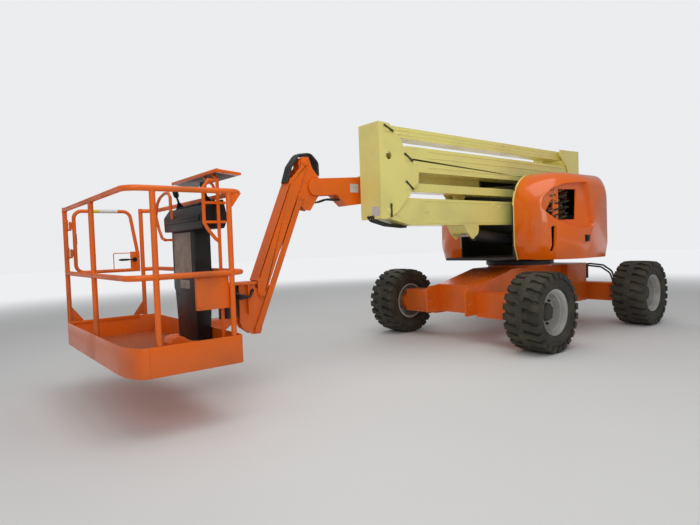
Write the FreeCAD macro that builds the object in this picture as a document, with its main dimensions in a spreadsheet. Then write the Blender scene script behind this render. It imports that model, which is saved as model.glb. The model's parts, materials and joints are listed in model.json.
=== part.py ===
import FreeCAD, Part
import Sketcher
import math
import os
import re

# An articulating boom lift, in millimetres and degrees. The frame's origin is on the floor under
# the middle of the machine: +X points to the platform, +Y to the machine's left side, +Z up.
# Each pivot has a place measured from the slew axis, and each piece is drawn about its own pivot.

# Driving sizes: name, value, what it measures
SIZES = (
    ("wheelbase", 2380, "between the two axle lines"),
    ("track_wide", 2054, "between the tyres' middle planes"),
    ("tyre_radius", 419, "to the lugs' tips"),
    ("tyre_wide", 394, "over the sidewalls"),
    ("lug_deep", 27, "height of a lug over the carcass"),
    ("shoulder", 34, "bevel between tread and sidewall"),
    ("lug_count", 24, "lugs in each of a tyre's two rows"),
    ("lug_play", 1.5, "lugs narrower than their flats on each side"),
    ("bead_play", 0.3, "gap between tyre bead and rim"),
    ("rim_radius", 228, "bead seat of the rim"),
    ("hub_radius", 110, "spool behind the wheel disc"),
    ("frame_half", 300, "half the width of the chassis frame"),
    ("frame_low", 335, "underside of the chassis frame"),
    ("frame_high", 820, "top of the chassis frame"),
    ("nose_ahead", 320, "front end of the side plates ahead of the drive axle"),
    ("nose_plate_ahead", 70, "cross plate in the nose ahead of the drive axle"),
    ("tail_gap", 92, "rear face of the frame ahead of the steer axle's beam"),
    ("tail_half", 400, "half the width of the frame's rear block"),
    ("frame_plate", 20, "thickness of the frame's side plates"),
    ("eye_radius", 25, "tie-down eyes through the side plates"),
    ("beam_half_long", 120, "half the length of an axle beam along X"),
    ("beam_half_high", 122, "half the height of an axle beam"),
    ("beam_lip", 25, "flange under the drive axle beam"),
    ("hub_face", 912, "where hub and wheel meet, from the middle plane"),
    ("steer_half_long", 98, "half the length of the steer axle along X"),
    ("fork_plate", 28, "plates of the steer axle's forks"),
    ("fork_throat", 670, "where the steer axle's fork opens"),
    ("kingpin_y", 800, "kingpins from the middle plane"),
    ("kingpin_radius", 28, "radius of a kingpin"),
    ("steer_arm", 170, "kingpin to tie rod"),
    ("trunnion_radius", 55, "pin that the steer axle oscillates on"),
    ("pin_play", 0.08, "radial play of a pin in its bore"),
    ("side_play", 6, "play between a moving piece and the plates beside it"),
    ("ring_low", 850, "underside of the slew ring"),
    ("ring_high", 905, "top of the slew ring"),
    ("ring_radius", 430, "outside of the slew ring"),
    ("race_play", 0.3, "gap inside the slew ring"),
    ("deck_low", 940, "underside of the turntable deck"),
    ("deck_thick", 30, "thickness of the turntable deck"),
    ("deck_nose", 1030, "front edge of the deck"),
    ("tower_y", 140, "middle plane of the tower booms"),
    ("tower_half", 129, "half the width of the tower booms"),
    ("tower_plate", 16, "side plates of the uprights and the mast"),
    ("link_half", 90, "half the width of the tower links"),
    ("tower_long", 3326, "pivot to pivot of the tower booms"),
    ("lower_pivot_x", -714, "lower boom's pivot on the mast"),
    ("lower_pivot_z", 1497, "height of that pivot"),
    ("lower_half_high", 139, "half the depth of the lower boom"),
    ("lower_link_x", -265, "lower link's pins from the boom's pins"),
    ("lower_link_z", 254, "lower link's pins above the boom's pins"),
    ("upper_pivot_x", -260, "upper boom's front pin from the lower boom's"),
    ("upper_pivot_z", 535, "upper boom's front pin above the lower boom's"),
    ("upper_half_high", 128, "half the depth of the upper boom"),
    ("upper_link_x", 264, "upper link's pins from the upper boom's pins"),
    ("upper_link_z", 264, "upper link's pins above the upper boom's pins"),
    ("lower_link_half", 45, "half the depth of the lower link"),
    ("top_link_half", 57, "half the depth of the upper link"),
    ("tower_pin", 32, "radius of the booms' pins"),
    ("link_pin", 25, "radius of the links' and cylinders' pins"),
    ("boom_y", -155, "middle plane of main boom, jib and platform"),
    ("boom_pivot_x", 74, "main boom's pivot from the upper boom's rear pin"),
    ("boom_pivot_z", 23, "height of that pivot over the same pin"),
    ("boom_slope", 4.28, "main boom's fall towards the platform"),
    ("boom_long", 3450, "main boom from its pivot"),
    ("boom_half_high", 110, "half the depth of the main boom"),
    ("boom_half_wide", 99, "half the width of the main boom"),
    ("fly_half_high", 82, "half the depth of the fly boom"),
    ("fly_half_wide", 75, "half the width of the fly boom"),
    ("fly_play", 6, "play between fly boom and main boom"),
    ("fly_tail", 1150, "rear end of the fly boom from the main pivot"),
    ("nose_at", 4128, "nose pivot from the main pivot along the boom"),
    ("fork_deep", 235, "throat of the fly boom's fork"),
    ("nose_half", 52, "outside of the nose's plates"),
    ("nose_plate", 16, "thickness of the nose's plates"),
    ("cheek", 12, "thickness of the jib's side walls"),
    ("jib_long", 1295, "pin to pivot pin of the jib"),
    ("jib_slope", 66.9, "fall of the jib as it is parked"),
    ("jib_up_x", 112, "jib's pin ahead of the nose pivot"),
    ("jib_up_z", 225, "jib's pin above the nose pivot"),
    ("jib_link_x", 57, "jib link's pins from the jib's pins"),
    ("jib_link_z", -322, "jib link's pins from the jib's pins, in height"),
    ("jib_front", 92, "front of the jib's cover plate from its pin line"),
    ("jib_cover", 10, "thickness of the jib's cover plate"),
    ("jib_slit", 10, "gap between the side walls and the cover plate"),
    ("cover_from", 200, "upper end of the cover plate from the jib's pin"),
    ("cover_to", 85, "lower end of the cover plate above the jib's lower pin"),
    ("jib_back", 35, "rear edge of the jib tube from its pin line"),
    ("jib_half", 70, "half the width of the jib tube"),
    ("jib_link_half", 28, "half the depth of the jib link"),
    ("rotator_x", 300, "rotator axis from the jib's lower pin"),
    ("rotator_radius", 85, "housing of the rotary actuator"),
    ("rotator_low", -190, "underside of that housing from the jib's lower pin"),
    ("rotator_high", 88, "top of that housing from the jib's lower pin"),
    ("platform_gap", 324, "rotator axis to the platform's rear edge"),
    ("platform_deep", 760, "platform along X"),
    ("platform_half", 915, "half the platform's width"),
    ("toe_low", 397, "underside of the tray"),
    ("toe_high", 590, "top edge of the toe board"),
    ("tray_floor", 425, "top of the platform floor"),
    ("tray_wall", 8, "thickness of the toe board"),
    ("toe_bow_x", 110, "toe board's front left corner, along X"),
    ("toe_bow_y", 320, "toe board's front left corner, along Y"),
    ("rail_corner", 100, "radius of the rails' corners"),
    ("rail_back", 46, "from the rear edge of the platform back to the rear rails"),
    ("far_rail", 40, "from the right edge of the platform out to its posts"),
    ("rail_mid", 1020, "height of the middle rail"),
    ("rail_top", 1575, "height of the top rail"),
    ("rail_radius", 19, "radius of the guard rails"),
    ("guard_radius", 12, "radius of the console guards' tube"),
    ("gate_radius", 16, "radius of the gate's tube"),
    ("gate_low", 1019, "lower bar of the gate"),
    ("gate_high", 1567, "upper bar of the gate"),
    ("gate_bar", 70, "gate's upright bar behind the front post"),
    ("gate_hinge", 41, "hinge pin behind the front post"),
    ("hinge_pin", 6, "radius of the gate's and the hoods' hinge pins"),
    ("hood_inner", 400, "inner edge of a hood from the middle plane"),
    ("hood_outer", 1000, "outer side of a hood"),
    ("hood_front", 700, "front face of a hood"),
    ("hood_corner", 500, "radius of a hood's front corner in plan"),
    ("hood_low", 930, "lower edge of a hood"),
    ("hood_high", 1970, "top of a hood"),
    ("hood_brow", 400, "radius of a hood's front top edge"),
    ("hood_bevel", 60, "lean of the hoods' lower edge"),
    ("tail_radius", 1060, "tail swing of the hoods"),
    ("hood_wall", 25, "thickness of a hood"),
    ("bulkhead_thick", 16, "bulkhead inside each hood's inner edge"),
    ("tower_barrel", 72, "radius of the tower cylinder"),
    ("boom_barrel", 58, "radius of the main boom's cylinder"),
    ("jib_barrel", 36, "radius of the jib cylinder"),
    ("tower_foot_x", 514, "tower cylinder's foot from the lower boom's pivot"),
    ("tower_foot_z", -397, "that foot's height from the pivot"),
    ("tower_eye_x", 1976, "tower cylinder's eye along the lower boom"),
    ("tower_eye_z", -232, "that eye from the boom's pin line"),
    ("boom_foot_x", 280, "main cylinder's foot from the main boom's pivot"),
    ("boom_foot_z", -555, "that foot's height from the pivot"),
    ("boom_eye_x", 2000, "main cylinder's eye along the main boom"),
    ("boom_eye_z", -215, "that eye from the boom's pin line"),
)

# Sizes that follow from the driving ones
DERIVED = {
    "wheel_z": "tyre_radius",
    "axle_x": "wheelbase / 2",
    "wheel_y": "track_wide / 2",
    "frame_nose": "axle_x + nose_ahead",
    "nose_plate_at": "axle_x + nose_plate_ahead",
    "frame_tail": "axle_x - steer_half_long - tail_gap",
    "rotator_at": "jib_low_x + rotator_x",
    "platform_front": "rotator_at + platform_gap + platform_deep",
    "slew_x": "(axle_x + tyre_radius - platform_front) / 2",
    "deck_top": "deck_low + deck_thick",
    "plate_in": "tower_half + side_play",
    "plate_out": "plate_in + tower_plate",
    "front_pin_x": "lower_pivot_x + tower_long",
    "upper_front_x": "front_pin_x + upper_pivot_x",
    "upper_front_z": "lower_pivot_z + upper_pivot_z",
    "upper_rear_x": "upper_front_x - tower_long",
    "boom_x": "upper_rear_x + boom_pivot_x",
    "boom_z": "upper_front_z + boom_pivot_z",
    "boom_cos": "cos(boom_slope * 1deg)",
    "boom_sin": "sin(boom_slope * 1deg)",
    "nose_x": "boom_x + nose_at * boom_cos",
    "nose_z": "boom_z - nose_at * boom_sin",
    "jib_cos": "cos(jib_slope * 1deg)",
    "jib_sin": "sin(jib_slope * 1deg)",
    "jib_low_x": "nose_x + jib_up_x + jib_long * jib_cos",
    "jib_low_z": "nose_z + jib_up_z - jib_long * jib_sin",
    "boom_cheek": "boom_half_wide + side_play",
    "rail_edge": "tray_wall + rail_radius + race_play",
    "nose_in": "nose_half - nose_plate",
    "cheek_in": "nose_half + side_play",
    "tray_back": "platform_gap",
    "tray_front": "platform_gap + platform_deep",
}

doc = FreeCAD.newDocument("BoomLift")
sheet = doc.addObject("Spreadsheet::Sheet", "Sizes")
for row, (name, value, meaning) in enumerate(SIZES, 1):
    sheet.set(f"A{row}", meaning)
    sheet.set(f"B{row}", str(value))
    sheet.setAlias(f"B{row}", name)
doc.recompute()

KNOWN = {name for name, value, meaning in SIZES}
PARTS = []


def formula(text):
    """Turn a size's name, or a sum of them, into an expression on the sheet's cells."""

    def cell(found):
        word = found.group(0)
        if word in DERIVED:
            return "(" + formula(DERIVED[word]) + ")"
        return f"Sizes.{word}" if word in KNOWN else word

    return re.sub(r"[a-z_][a-z_]*", cell, str(text))


def number(text):
    """The value of a size or sum of sizes."""
    value = sheet.evalExpression(formula(text))
    return float(getattr(value, "Value", value))


def bind(item, **sizes):
    """Tie an object's properties to the sheet."""
    for prop, text in sizes.items():
        item.setExpression(prop.replace("__", "."), formula(text))
    return item


def piece(label, x="0", y="0", z="0", pitch="0"):
    """A new sub-part, drawn about a point given from the slew axis, pitched nose-down."""
    body = doc.addObject("PartDesign::Body", label)
    body.Label = label
    body.AllowCompound = True
    body.Placement.Rotation = FreeCAD.Rotation(FreeCAD.Vector(0, 1, 0), 1)
    bind(body, Placement__Base__x=f"slew_x + ({x})", Placement__Base__y=y, Placement__Base__z=z)
    bind(body, Placement__Rotation__Angle=f"({pitch}) * 1deg")
    PARTS.append(body)
    return body


def plane_of(body, role):
    """One of a body's own origin planes or axes."""
    return next(item for item in body.Origin.OriginFeatures if item.Role == role)


def sketch_on(body, role, offset="0"):
    """An empty sketch on one of the body's origin planes, moved along its normal."""
    sketch = body.newObject("Sketcher::SketchObject", body.Label + "_sketch")
    sketch.AttachmentSupport = [(plane_of(body, role), "")]
    sketch.MapMode = "FlatFace"
    bind(sketch, AttachmentOffset__Base__z=offset)
    return sketch


def pin_vertex(sketch, edge, corner, end=1):
    """Hold the start, or with 2 the end, of an edge at a corner given by two expressions."""
    for kind, text in zip(("DistanceX", "DistanceY"), corner):
        held = sketch.addConstraint(Sketcher.Constraint(kind, -1, 1, edge, end, number(text)))
        sketch.setExpression(f"Constraints[{held}]", formula(text))


def draw_polygon(sketch, corners):
    """A closed polygon through corners, each a pair of expressions."""
    places = [FreeCAD.Vector(number(a), number(b), 0) for a, b in corners]
    count = len(corners)
    for turn in range(count):
        sketch.addGeometry(Part.LineSegment(places[turn], places[(turn + 1) % count]), False)
    for turn in range(count):
        sketch.addConstraint(Sketcher.Constraint("Coincident", turn, 2, (turn + 1) % count, 1))
        pin_vertex(sketch, turn, corners[turn])


def slab(body, role, corners, low, high, cut=False):
    """Pad or pocket a polygon between two distances from an origin plane."""
    flipped = role == "XZ_Plane"
    start = high if flipped != cut else low
    sketch = sketch_on(body, role, f"-({start})" if flipped else start)
    draw_polygon(sketch, corners)
    kind = "PartDesign::Pocket" if cut else "PartDesign::Pad"
    feature = body.newObject(kind, body.Label + "_slab")
    feature.Profile = sketch
    return bind(feature, Length=f"({high}) - ({low})")


def block(body, x, y, z, cut=False):
    """Add or cut a box between pairs of limits."""
    kind = "PartDesign::SubtractiveBox" if cut else "PartDesign::AdditiveBox"
    feature = body.newObject(kind, body.Label + "_block")
    bind(feature, Length=f"({x[1]}) - ({x[0]})", Width=f"({y[1]}) - ({y[0]})", Height=f"({z[1]}) - ({z[0]})")
    return bind(feature, Placement__Base__x=x[0], Placement__Base__y=y[0], Placement__Base__z=z[0])


TURNS = {
    "x": FreeCAD.Rotation(FreeCAD.Vector(0, 1, 0), 90),
    "y": FreeCAD.Rotation(FreeCAD.Vector(1, 0, 0), -90),
    "z": FreeCAD.Rotation(),
}


def rod(body, axis, radius, low, high, at=("0", "0"), cut=False):
    """Add or cut a cylinder along an axis; at gives its two other coordinates in order."""
    kind = "PartDesign::SubtractiveCylinder" if cut else "PartDesign::AdditiveCylinder"
    feature = body.newObject(kind, body.Label + "_rod")
    feature.Placement = FreeCAD.Placement(FreeCAD.Vector(), TURNS[axis])
    bind(feature, Radius=radius, Height=f"({high}) - ({low})")
    others = [name for name in "xyz" if name != axis]
    places = dict(zip(others, at))
    places[axis] = low
    return bind(feature, **{f"Placement__Base__{name}": text for name, text in places.items()})


def many_sided(body, axis, sides, radius, low, high, at=("0", "0"), cut=False):
    """Add or cut a prism with many sides, its flats facing the other axes, as rod does a cylinder."""
    kind = "PartDesign::SubtractivePrism" if cut else "PartDesign::AdditivePrism"
    feature = body.newObject(kind, body.Label + "_prism")
    half_side = FreeCAD.Rotation(FreeCAD.Vector(0, 0, 1), 180 / sides)
    feature.Placement = FreeCAD.Placement(FreeCAD.Vector(), TURNS[axis].multiply(half_side))
    feature.Polygon = sides
    bind(feature, Circumradius=radius, Height=f"({high}) - ({low})")
    others = [name for name in "xyz" if name != axis]
    places = dict(zip(others, at))
    places[axis] = low
    return bind(feature, **{f"Placement__Base__{name}": text for name, text in places.items()})


def tube(body, role, route, level, start, radius="rail_radius", sides=12):
    """A mitred tube along a route on one of the body's planes; start is the axis its first run follows."""
    planes = {"XY_Plane": "xyz", "XZ_Plane": "xzy", "YZ_Plane": "yzx"}
    first = dict(zip(planes[role], (*route[0], level)))
    offset = f"-({level})" if role == "XZ_Plane" else level
    spine = sketch_on(body, role, offset)
    places = [FreeCAD.Vector(number(a), number(b), 0) for a, b in route]
    for turn in range(len(route) - 1):
        spine.addGeometry(Part.LineSegment(places[turn], places[turn + 1]), False)
    for turn in range(len(route) - 2):
        spine.addConstraint(Sketcher.Constraint("Coincident", turn, 2, turn + 1, 1))
    for turn in range(len(route) - 1):
        pin_vertex(spine, turn, route[turn])
    pin_vertex(spine, len(route) - 2, route[-1], 2)
    across = {"x": ("YZ_Plane", "yz"), "y": ("XZ_Plane", "xz"), "z": ("XY_Plane", "xy")}
    face, letters = across[start]
    profile = sketch_on(body, face, f"-({first[start]})" if face == "XZ_Plane" else first[start])
    corners = []
    for turn in range(sides):
        angle = math.tau * (turn + 0.5) / sides
        swing = (math.cos(angle), math.sin(angle))
        corners.append(
            tuple(f"{first[letter]} + {radius} * {part:.5f}" for letter, part in zip(letters, swing))
        )
    draw_polygon(profile, corners)
    pipe = body.newObject("PartDesign::AdditivePipe", body.Label + "_tube")
    pipe.Profile = profile
    pipe.Spine = spine
    pipe.Transition = "Right corner"
    return pipe


def turned(body, corners, cut=False):
    """Revolve a polygon of (along Y, radius) corners about the body's Y axis."""
    sketch = sketch_on(body, "YZ_Plane")
    draw_polygon(sketch, corners)
    kind = "PartDesign::Groove" if cut else "PartDesign::Revolution"
    feature = body.newObject(kind, body.Label + "_turned")
    feature.Profile = sketch
    feature.ReferenceAxis = (plane_of(body, "Y_Axis"), [""])
    feature.Angle = 360
    return feature


def bore(body, radius, half, at):
    """A running bore along Y for a pin of the given radius."""
    rod(body, "y", f"{radius} + pin_play", f"-({half}) - 1", f"{half} + 1", at, cut=True)


def mirrored_pair(low, high):
    """Limits on both sides of a middle plane."""
    return ((low, high), (f"-({high})", f"-({low})"))


# Chassis


def chassis_frame():
    body = piece("chassis_frame")
    # X and Z of the side outline, from the nose backwards over the top
    outline = (
        ("frame_nose", "frame_low"),
        ("frame_nose", "frame_low + 265"),
        ("frame_nose - 45", "frame_low + 315"),
        ("nose_plate_at", "frame_low + 330"),
        ("ring_radius + 170", "frame_high"),
        ("-frame_tail", "frame_high"),
        ("-frame_tail", "frame_low"),
    )
    slab(body, "XZ_Plane", outline, "-frame_half", "frame_half")
    block(
        body,
        ("nose_plate_at + frame_plate", "frame_nose + 1"),
        ("-frame_half + frame_plate", "frame_half - frame_plate"),
        ("frame_low - 1", "frame_high"),
        cut=True,
    )
    block(
        body,
        ("-frame_tail", "-frame_tail + 500"),
        ("-tail_half", "tail_half"),
        ("frame_low - 35", "frame_high"),
    )
    rod(body, "z", "ring_radius - 20", "frame_high", "ring_low")
    rod(body, "x", "trunnion_radius", "-axle_x - steer_half_long - 40", "-frame_tail", ("0", "wheel_z"))
    rod(
        body,
        "y",
        "eye_radius",
        "-frame_half - 1",
        "frame_half + 1",
        ("frame_nose - 65", "frame_low + 150"),
        cut=True,
    )


def drive_axle():
    body = piece("drive_axle", "axle_x", "0", "wheel_z")
    beam_end = "hub_face - 85"
    for low, high in mirrored_pair("frame_half", beam_end):
        block(
            body,
            ("-beam_half_long", "beam_half_long"),
            (low, high),
            ("frame_low - wheel_z", "beam_half_high + 40"),
        )
        block(
            body,
            ("-beam_half_long - 10", "beam_half_long + 15"),
            (low, high),
            ("frame_low - wheel_z - beam_lip", "frame_low - wheel_z"),
        )
    for low, high in mirrored_pair(beam_end, "hub_face"):
        rod(body, "y", "hub_radius + 25", low, high)


def steer_axle():
    body = piece("steer_axle", "-axle_x", "0", "wheel_z")
    end = "kingpin_y + 62"
    block(
        body,
        ("-steer_half_long", "steer_half_long"),
        (f"-({end})", end),
        ("-beam_half_high", "beam_half_high"),
    )
    for low, high in mirrored_pair("fork_throat", f"{end} + 1"):
        block(
            body,
            ("-steer_half_long - 1", "steer_half_long + 1"),
            (low, high),
            ("-beam_half_high + fork_plate", "beam_half_high - fork_plate"),
            cut=True,
        )
    for side in ("kingpin_y", "-kingpin_y"):
        rod(body, "z", "kingpin_radius", "-beam_half_high + 10", "beam_half_high - 10", ("0", side))
    many_sided(
        body,
        "x",
        24,
        "(trunnion_radius + race_play) / cos(7.5deg)",
        "-steer_half_long - 1",
        "steer_half_long + 1",
        cut=True,
    )


def knuckle(label, side):
    body = piece(label, "-axle_x", f"{side} * kingpin_y", "wheel_z")
    inside = "beam_half_high - fork_plate - side_play"
    # Y limits are given for the left knuckle and turned over for the right one
    def limits(low, high):
        return (low, high) if side > 0 else (f"-({high})", f"-({low})")

    block(body, ("-62", "62"), limits("-62", "62"), (f"-({inside})", inside))
    rod(body, "y", "hub_radius - 24", *limits("62", "hub_face - kingpin_y"))
    block(body, ("-steer_arm - 28", "0"), limits("-30", "10"), ("-62", "-34"))
    rod(body, "z", "kingpin_radius + pin_play", f"-({inside}) - 1", f"{inside} + 1", cut=True)


def tie_rod():
    body = piece("tie_rod", "-axle_x - steer_arm", "0", "wheel_z")
    reach = "kingpin_y - 10"
    many_sided(body, "y", 16, "18", f"-({reach})", reach, ("0", "-8"))
    for side in (reach, f"-({reach})"):
        many_sided(body, "z", 16, "24", "-34 + race_play", "14", ("0", side))


def tyre(label, x, side):
    body = piece(label, x, f"{side} * wheel_y", "wheel_z")
    half = "tyre_wide / 2"
    root = "(tyre_radius - lug_deep)"
    # the carcass has one flat for each lug of either row
    flats = 2 * round(number("lug_count"))
    carcass = many_sided(body, "y", flats, f"{root} / cos(90deg / lug_count)", f"-({half})", half)
    doc.recompute()
    reach = number(half) - 0.01
    rims = [
        f"Edge{turn}"
        for turn, edge in enumerate(carcass.Shape.Edges, 1)
        if all(abs(point.Point.y) > reach for point in edge.Vertexes)
        and edge.Vertexes[0].Point.y * edge.Vertexes[1].Point.y > 0
    ]
    bevel = body.newObject("PartDesign::Chamfer", label + "_shoulder")
    bevel.Base = (carcass, rims)
    bind(bevel, Size="shoulder")
    many_sided(body, "y", 24, "(rim_radius + bead_play) / cos(7.5deg)", f"-({half}) - 1", f"{half} + 1", cut=True)
    # Y and Z of a lug from the middle of the tread to its outer end
    lug = (
        ("2", f"{root} - 4"),
        (f"{half} - 12", f"{root} - shoulder + 8"),
        (f"{half} - 12", "tyre_radius"),
        ("2", "tyre_radius"),
    )
    wide = f"{root} * tan(90deg / lug_count) - lug_play"
    for mirrored in (False, True):
        outline = [(f"-({y})", z) for y, z in reversed(lug)] if mirrored else lug
        pad = slab(body, "YZ_Plane", outline, f"-({wide})", wide)
        pattern = body.newObject("PartDesign::PolarPattern", label + "_lugs")
        pattern.Originals = [pad]
        pattern.Axis = (plane_of(body, "Y_Axis"), [""])
        pattern.Angle = 360
        bind(pattern, Occurrences="lug_count")
        body.Tip = pattern
        if mirrored:
            turn_lug(pad.Profile[0], wide)


def turn_lug(sketch, wide):
    """Turn a lug's sketch by half the lugs' pitch about the axle, so that the two rows interleave."""
    sketch.MapMode = "Deactivated"
    sketch.setExpression("AttachmentOffset.Base.z", None)
    upright = FreeCAD.Rotation(FreeCAD.Vector(1, 1, 1), 120)
    half_pitch = FreeCAD.Rotation(FreeCAD.Vector(0, 1, 0), 180 / number("lug_count"))
    sketch.Placement = FreeCAD.Placement(FreeCAD.Vector(), half_pitch.multiply(upright))
    angle = "(180deg / lug_count)"
    bind(sketch, Placement__Base__x=f"-({wide}) * cos{angle}", Placement__Base__z=f"({wide}) * sin{angle}")


def rim(label, x, side):
    body = piece(label, x, f"{side} * wheel_y", "wheel_z")
    if side < 0:
        body.Placement.Rotation = FreeCAD.Rotation(FreeCAD.Vector(0, 0, 1), 180)
        body.setExpression("Placement.Rotation.Angle", None)
    # radius and reach along the axle towards the outer side; True cuts
    steps = (
        ("rim_radius / cos(7.5deg)", "-150", "162", False),
        ("rim_radius - 14", "146", "163", True),
        ("rim_radius - 30", "26", "147", True),
        ("rim_radius - 26", "-151", "4", True),
        ("hub_radius", "hub_face - wheel_y + race_play", "4", False),
        ("90", "26", "92", False),
    )
    for radius, low, high, cut in steps:
        many_sided(body, "y", 24, radius, low, high, cut=cut)


def slew_ring():
    body = piece("slew_ring")
    rod(body, "z", "ring_radius", "ring_low + race_play", "ring_high")


# Turntable


def deck():
    body = piece("turntable_deck")
    # X and half width of the deck's plan from the nose to the tail
    plan = (
        ("deck_nose", "hood_inner - 20"),
        ("hood_front - 110", "hood_inner"),
        ("hood_front - 240", "hood_outer - 380"),
        ("250", "hood_outer - 140"),
        ("-330", "hood_outer - 140"),
        ("-700", "hood_outer - 360"),
        ("-tail_radius + 130", "230"),
    )
    corners = [(x, y) for x, y in plan] + [(x, f"-({y})") for x, y in reversed(plan)]
    slab(body, "XY_Plane", corners, "deck_low", "deck_top")
    rod(body, "z", "ring_radius - 40", "ring_high + race_play", "deck_low")
    link_x = "lower_pivot_x + lower_link_x"
    link_z = "lower_pivot_z + lower_link_z"
    # X and Z of the mast plates, which carry the lower boom, its link and the tower cylinder
    mast = (
        ("-690", "deck_top"),
        ("-60", "deck_top"),
        ("-100", "deck_top + 220"),
        ("lower_pivot_x + 294", "lower_pivot_z - 170"),
        ("lower_pivot_x + 130", "lower_pivot_z + 60"),
        ("lower_pivot_x + 20", "lower_pivot_z + 130"),
        (f"{link_x} + 55", f"{link_z} + 48"),
        (f"{link_x} - 20", f"{link_z} + 48"),
        (f"{link_x} - 38", f"{link_z} + 20"),
        (f"{link_x} - 38", "lower_pivot_z - 100"),
        ("lower_pivot_x - 150", "lower_pivot_z - 171"),
        ("-690", "lower_pivot_z - 171"),
    )
    for low, high in mirrored_pair("plate_in", "plate_out"):
        slab(body, "XZ_Plane", mast, f"tower_y + ({low})", f"tower_y + ({high})")
    pins = (
        ("tower_pin", "lower_pivot_x", "lower_pivot_z"),
        ("link_pin", link_x, link_z),
        ("link_pin", "lower_pivot_x + tower_foot_x", "lower_pivot_z + tower_foot_z"),
    )
    for radius, x, z in pins:
        rod(body, "y", radius, "tower_y - plate_in - 4", "tower_y + plate_in + 4", (x, z))


def counterweight():
    body = piece("counterweight")
    plan = (
        ("-480", "hood_inner - 40"),
        ("-tail_radius + 140", "hood_inner - 40"),
        ("-tail_radius + 40", "200"),
    )
    corners = [(x, y) for x, y in plan] + [(x, f"-({y})") for x, y in reversed(plan)]
    slab(body, "XY_Plane", corners, "deck_top", "lower_pivot_z - 175")
    for low, high in mirrored_pair("plate_in - 0.3", "plate_out + 0.3"):
        block(
            body,
            ("-700", "-400"),
            (f"tower_y + ({low})", f"tower_y + ({high})"),
            ("deck_top - 1", "lower_pivot_z"),
            cut=True,
        )


# X of the hoods' hinges
HOOD_HINGES = ("170", "-420")

# Corners of an octagon that holds a circle of radius 0.92 or less
OCTAGON = [(math.cos(math.pi / 8 * turn), math.sin(math.pi / 8 * turn)) for turn in range(1, 17, 2)]


def bulkheads():
    body = piece("hood_bulkheads")
    # X and Z of the hoods' side outline, drawn a little larger than the hoods
    outline = (
        ("hood_front + 8", "deck_top"),
        ("hood_front + 8", "hood_high - hood_brow"),
        ("hood_front - 45", "hood_high - hood_brow + 205"),
        ("hood_front - 170", "hood_high - 85"),
        ("hood_front - 400", "hood_high - 16"),
        ("-tail_radius + 400", "hood_high - 16"),
        ("-tail_radius + 200", "hood_high - 120"),
        ("-tail_radius + 110", "hood_high - 400"),
        ("-tail_radius + 110", "deck_top"),
    )
    for low, high in mirrored_pair("hood_inner - 5 - bulkhead_thick", "hood_inner - 5"):
        slab(body, "XZ_Plane", outline, low, high)
    # lugs with the hoods' hinge pins, the hoods being turned about their inner top edges
    for x in HOOD_HINGES:
        for low, high in mirrored_pair("hood_inner - 5 - bulkhead_thick", "hood_inner + 8"):
            block(body, (f"{x} - 24", x), (low, high), ("hood_high - 40", "hood_high + 8"))
        for side in ("hood_inner", "-hood_inner"):
            rod(body, "x", "hinge_pin", f"{x} - 4", f"{x} + 58", (side, "hood_high"))


def hood_solid(inset, stretch):
    """One hood's outer form, left side, shrunk inwards by inset; stretch opens its inner face and base."""
    front = number("hood_front") - inset
    outer = number("hood_outer") - inset
    inner = number("hood_inner") - stretch
    low = number("hood_low") - stretch
    high = number("hood_high") - inset
    tail = number("tail_radius") - inset
    corner = number("hood_corner") - inset
    brow = number("hood_brow") - inset
    bevel = number("hood_bevel")
    band = number("deck_low") + 160
    # share of the hood's width, drop of its top edge, both from the inner edge outwards
    sections = ((0, 0), (0.3, 4), (0.6, 16), (0.82, 50), (0.94, 105), (1.0, 190))
    wires = []
    for share, drop in sections:
        y = inner + stretch + (outer - inner - stretch) * share if share else inner
        reach = max(0.0, y - (outer - corner))
        x_front = front - corner + (corner**2 - reach**2) ** 0.5
        x_back = -((tail**2 - y**2) ** 0.5)
        top = high - drop
        turn = min(brow, (x_front - x_back) / 2 - 40)
        points = [(x_front - bevel, low), (x_front, band)]
        # four chords over the brow and three over the back
        for step in range(5):
            angle = math.pi / 8 * step
            points.append((x_front - turn * (1 - math.cos(angle)), top - turn * (1 - math.sin(angle))))
        back = turn * 0.6
        for step in range(4):
            angle = math.pi / 6 * step
            points.append((x_back + back * (1 - math.sin(angle)), top - back * (1 - math.cos(angle))))
        points += [(x_back, band), (x_back + bevel, low)]
        corners = [FreeCAD.Vector(x, y, z) for x, z in points]
        wires.append(Part.makePolygon(corners + corners[:1]))
    solid = Part.makeLoft(wires, True, True)
    if solid.Volume < 0:
        solid.reverse()
    return solid


def hood(label, side):
    shape = hood_solid(0, 0).cut(hood_solid(number("hood_wall"), 60))
    inner, high, wall = number("hood_inner"), number("hood_high"), number("hood_wall")
    along = FreeCAD.Vector(1, 0, 0)
    for x in map(number, HOOD_HINGES):
        notch = Part.makeBox(94, 22, wall + 40, FreeCAD.Vector(x - 30, inner - 8, high - wall - 20))
        shape = shape.cut(notch)
        leaf = Part.makeBox(56, 34, 8, FreeCAD.Vector(x + 2, inner, high - 9))
        sleeve = [FreeCAD.Vector(x + 2, inner + a * 10, high + b * 10) for a, b in OCTAGON]
        knuckle = Part.Face(Part.makePolygon(sleeve + sleeve[:1])).extrude(along * 56)
        shape = shape.fuse([leaf, knuckle])
        pin = number("hinge_pin + pin_play")
        shape = shape.cut(Part.makeCylinder(pin, 60, FreeCAD.Vector(x, inner, high), along))
    shape = shape.removeSplitter()
    if side < 0:
        shape = shape.mirror(FreeCAD.Vector(), FreeCAD.Vector(0, 1, 0))
    item = doc.addObject("Part::Feature", label)
    item.Label = label
    item.Shape = shape
    bind(item, Placement__Base__x="slew_x")
    PARTS.append(item)


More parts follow.
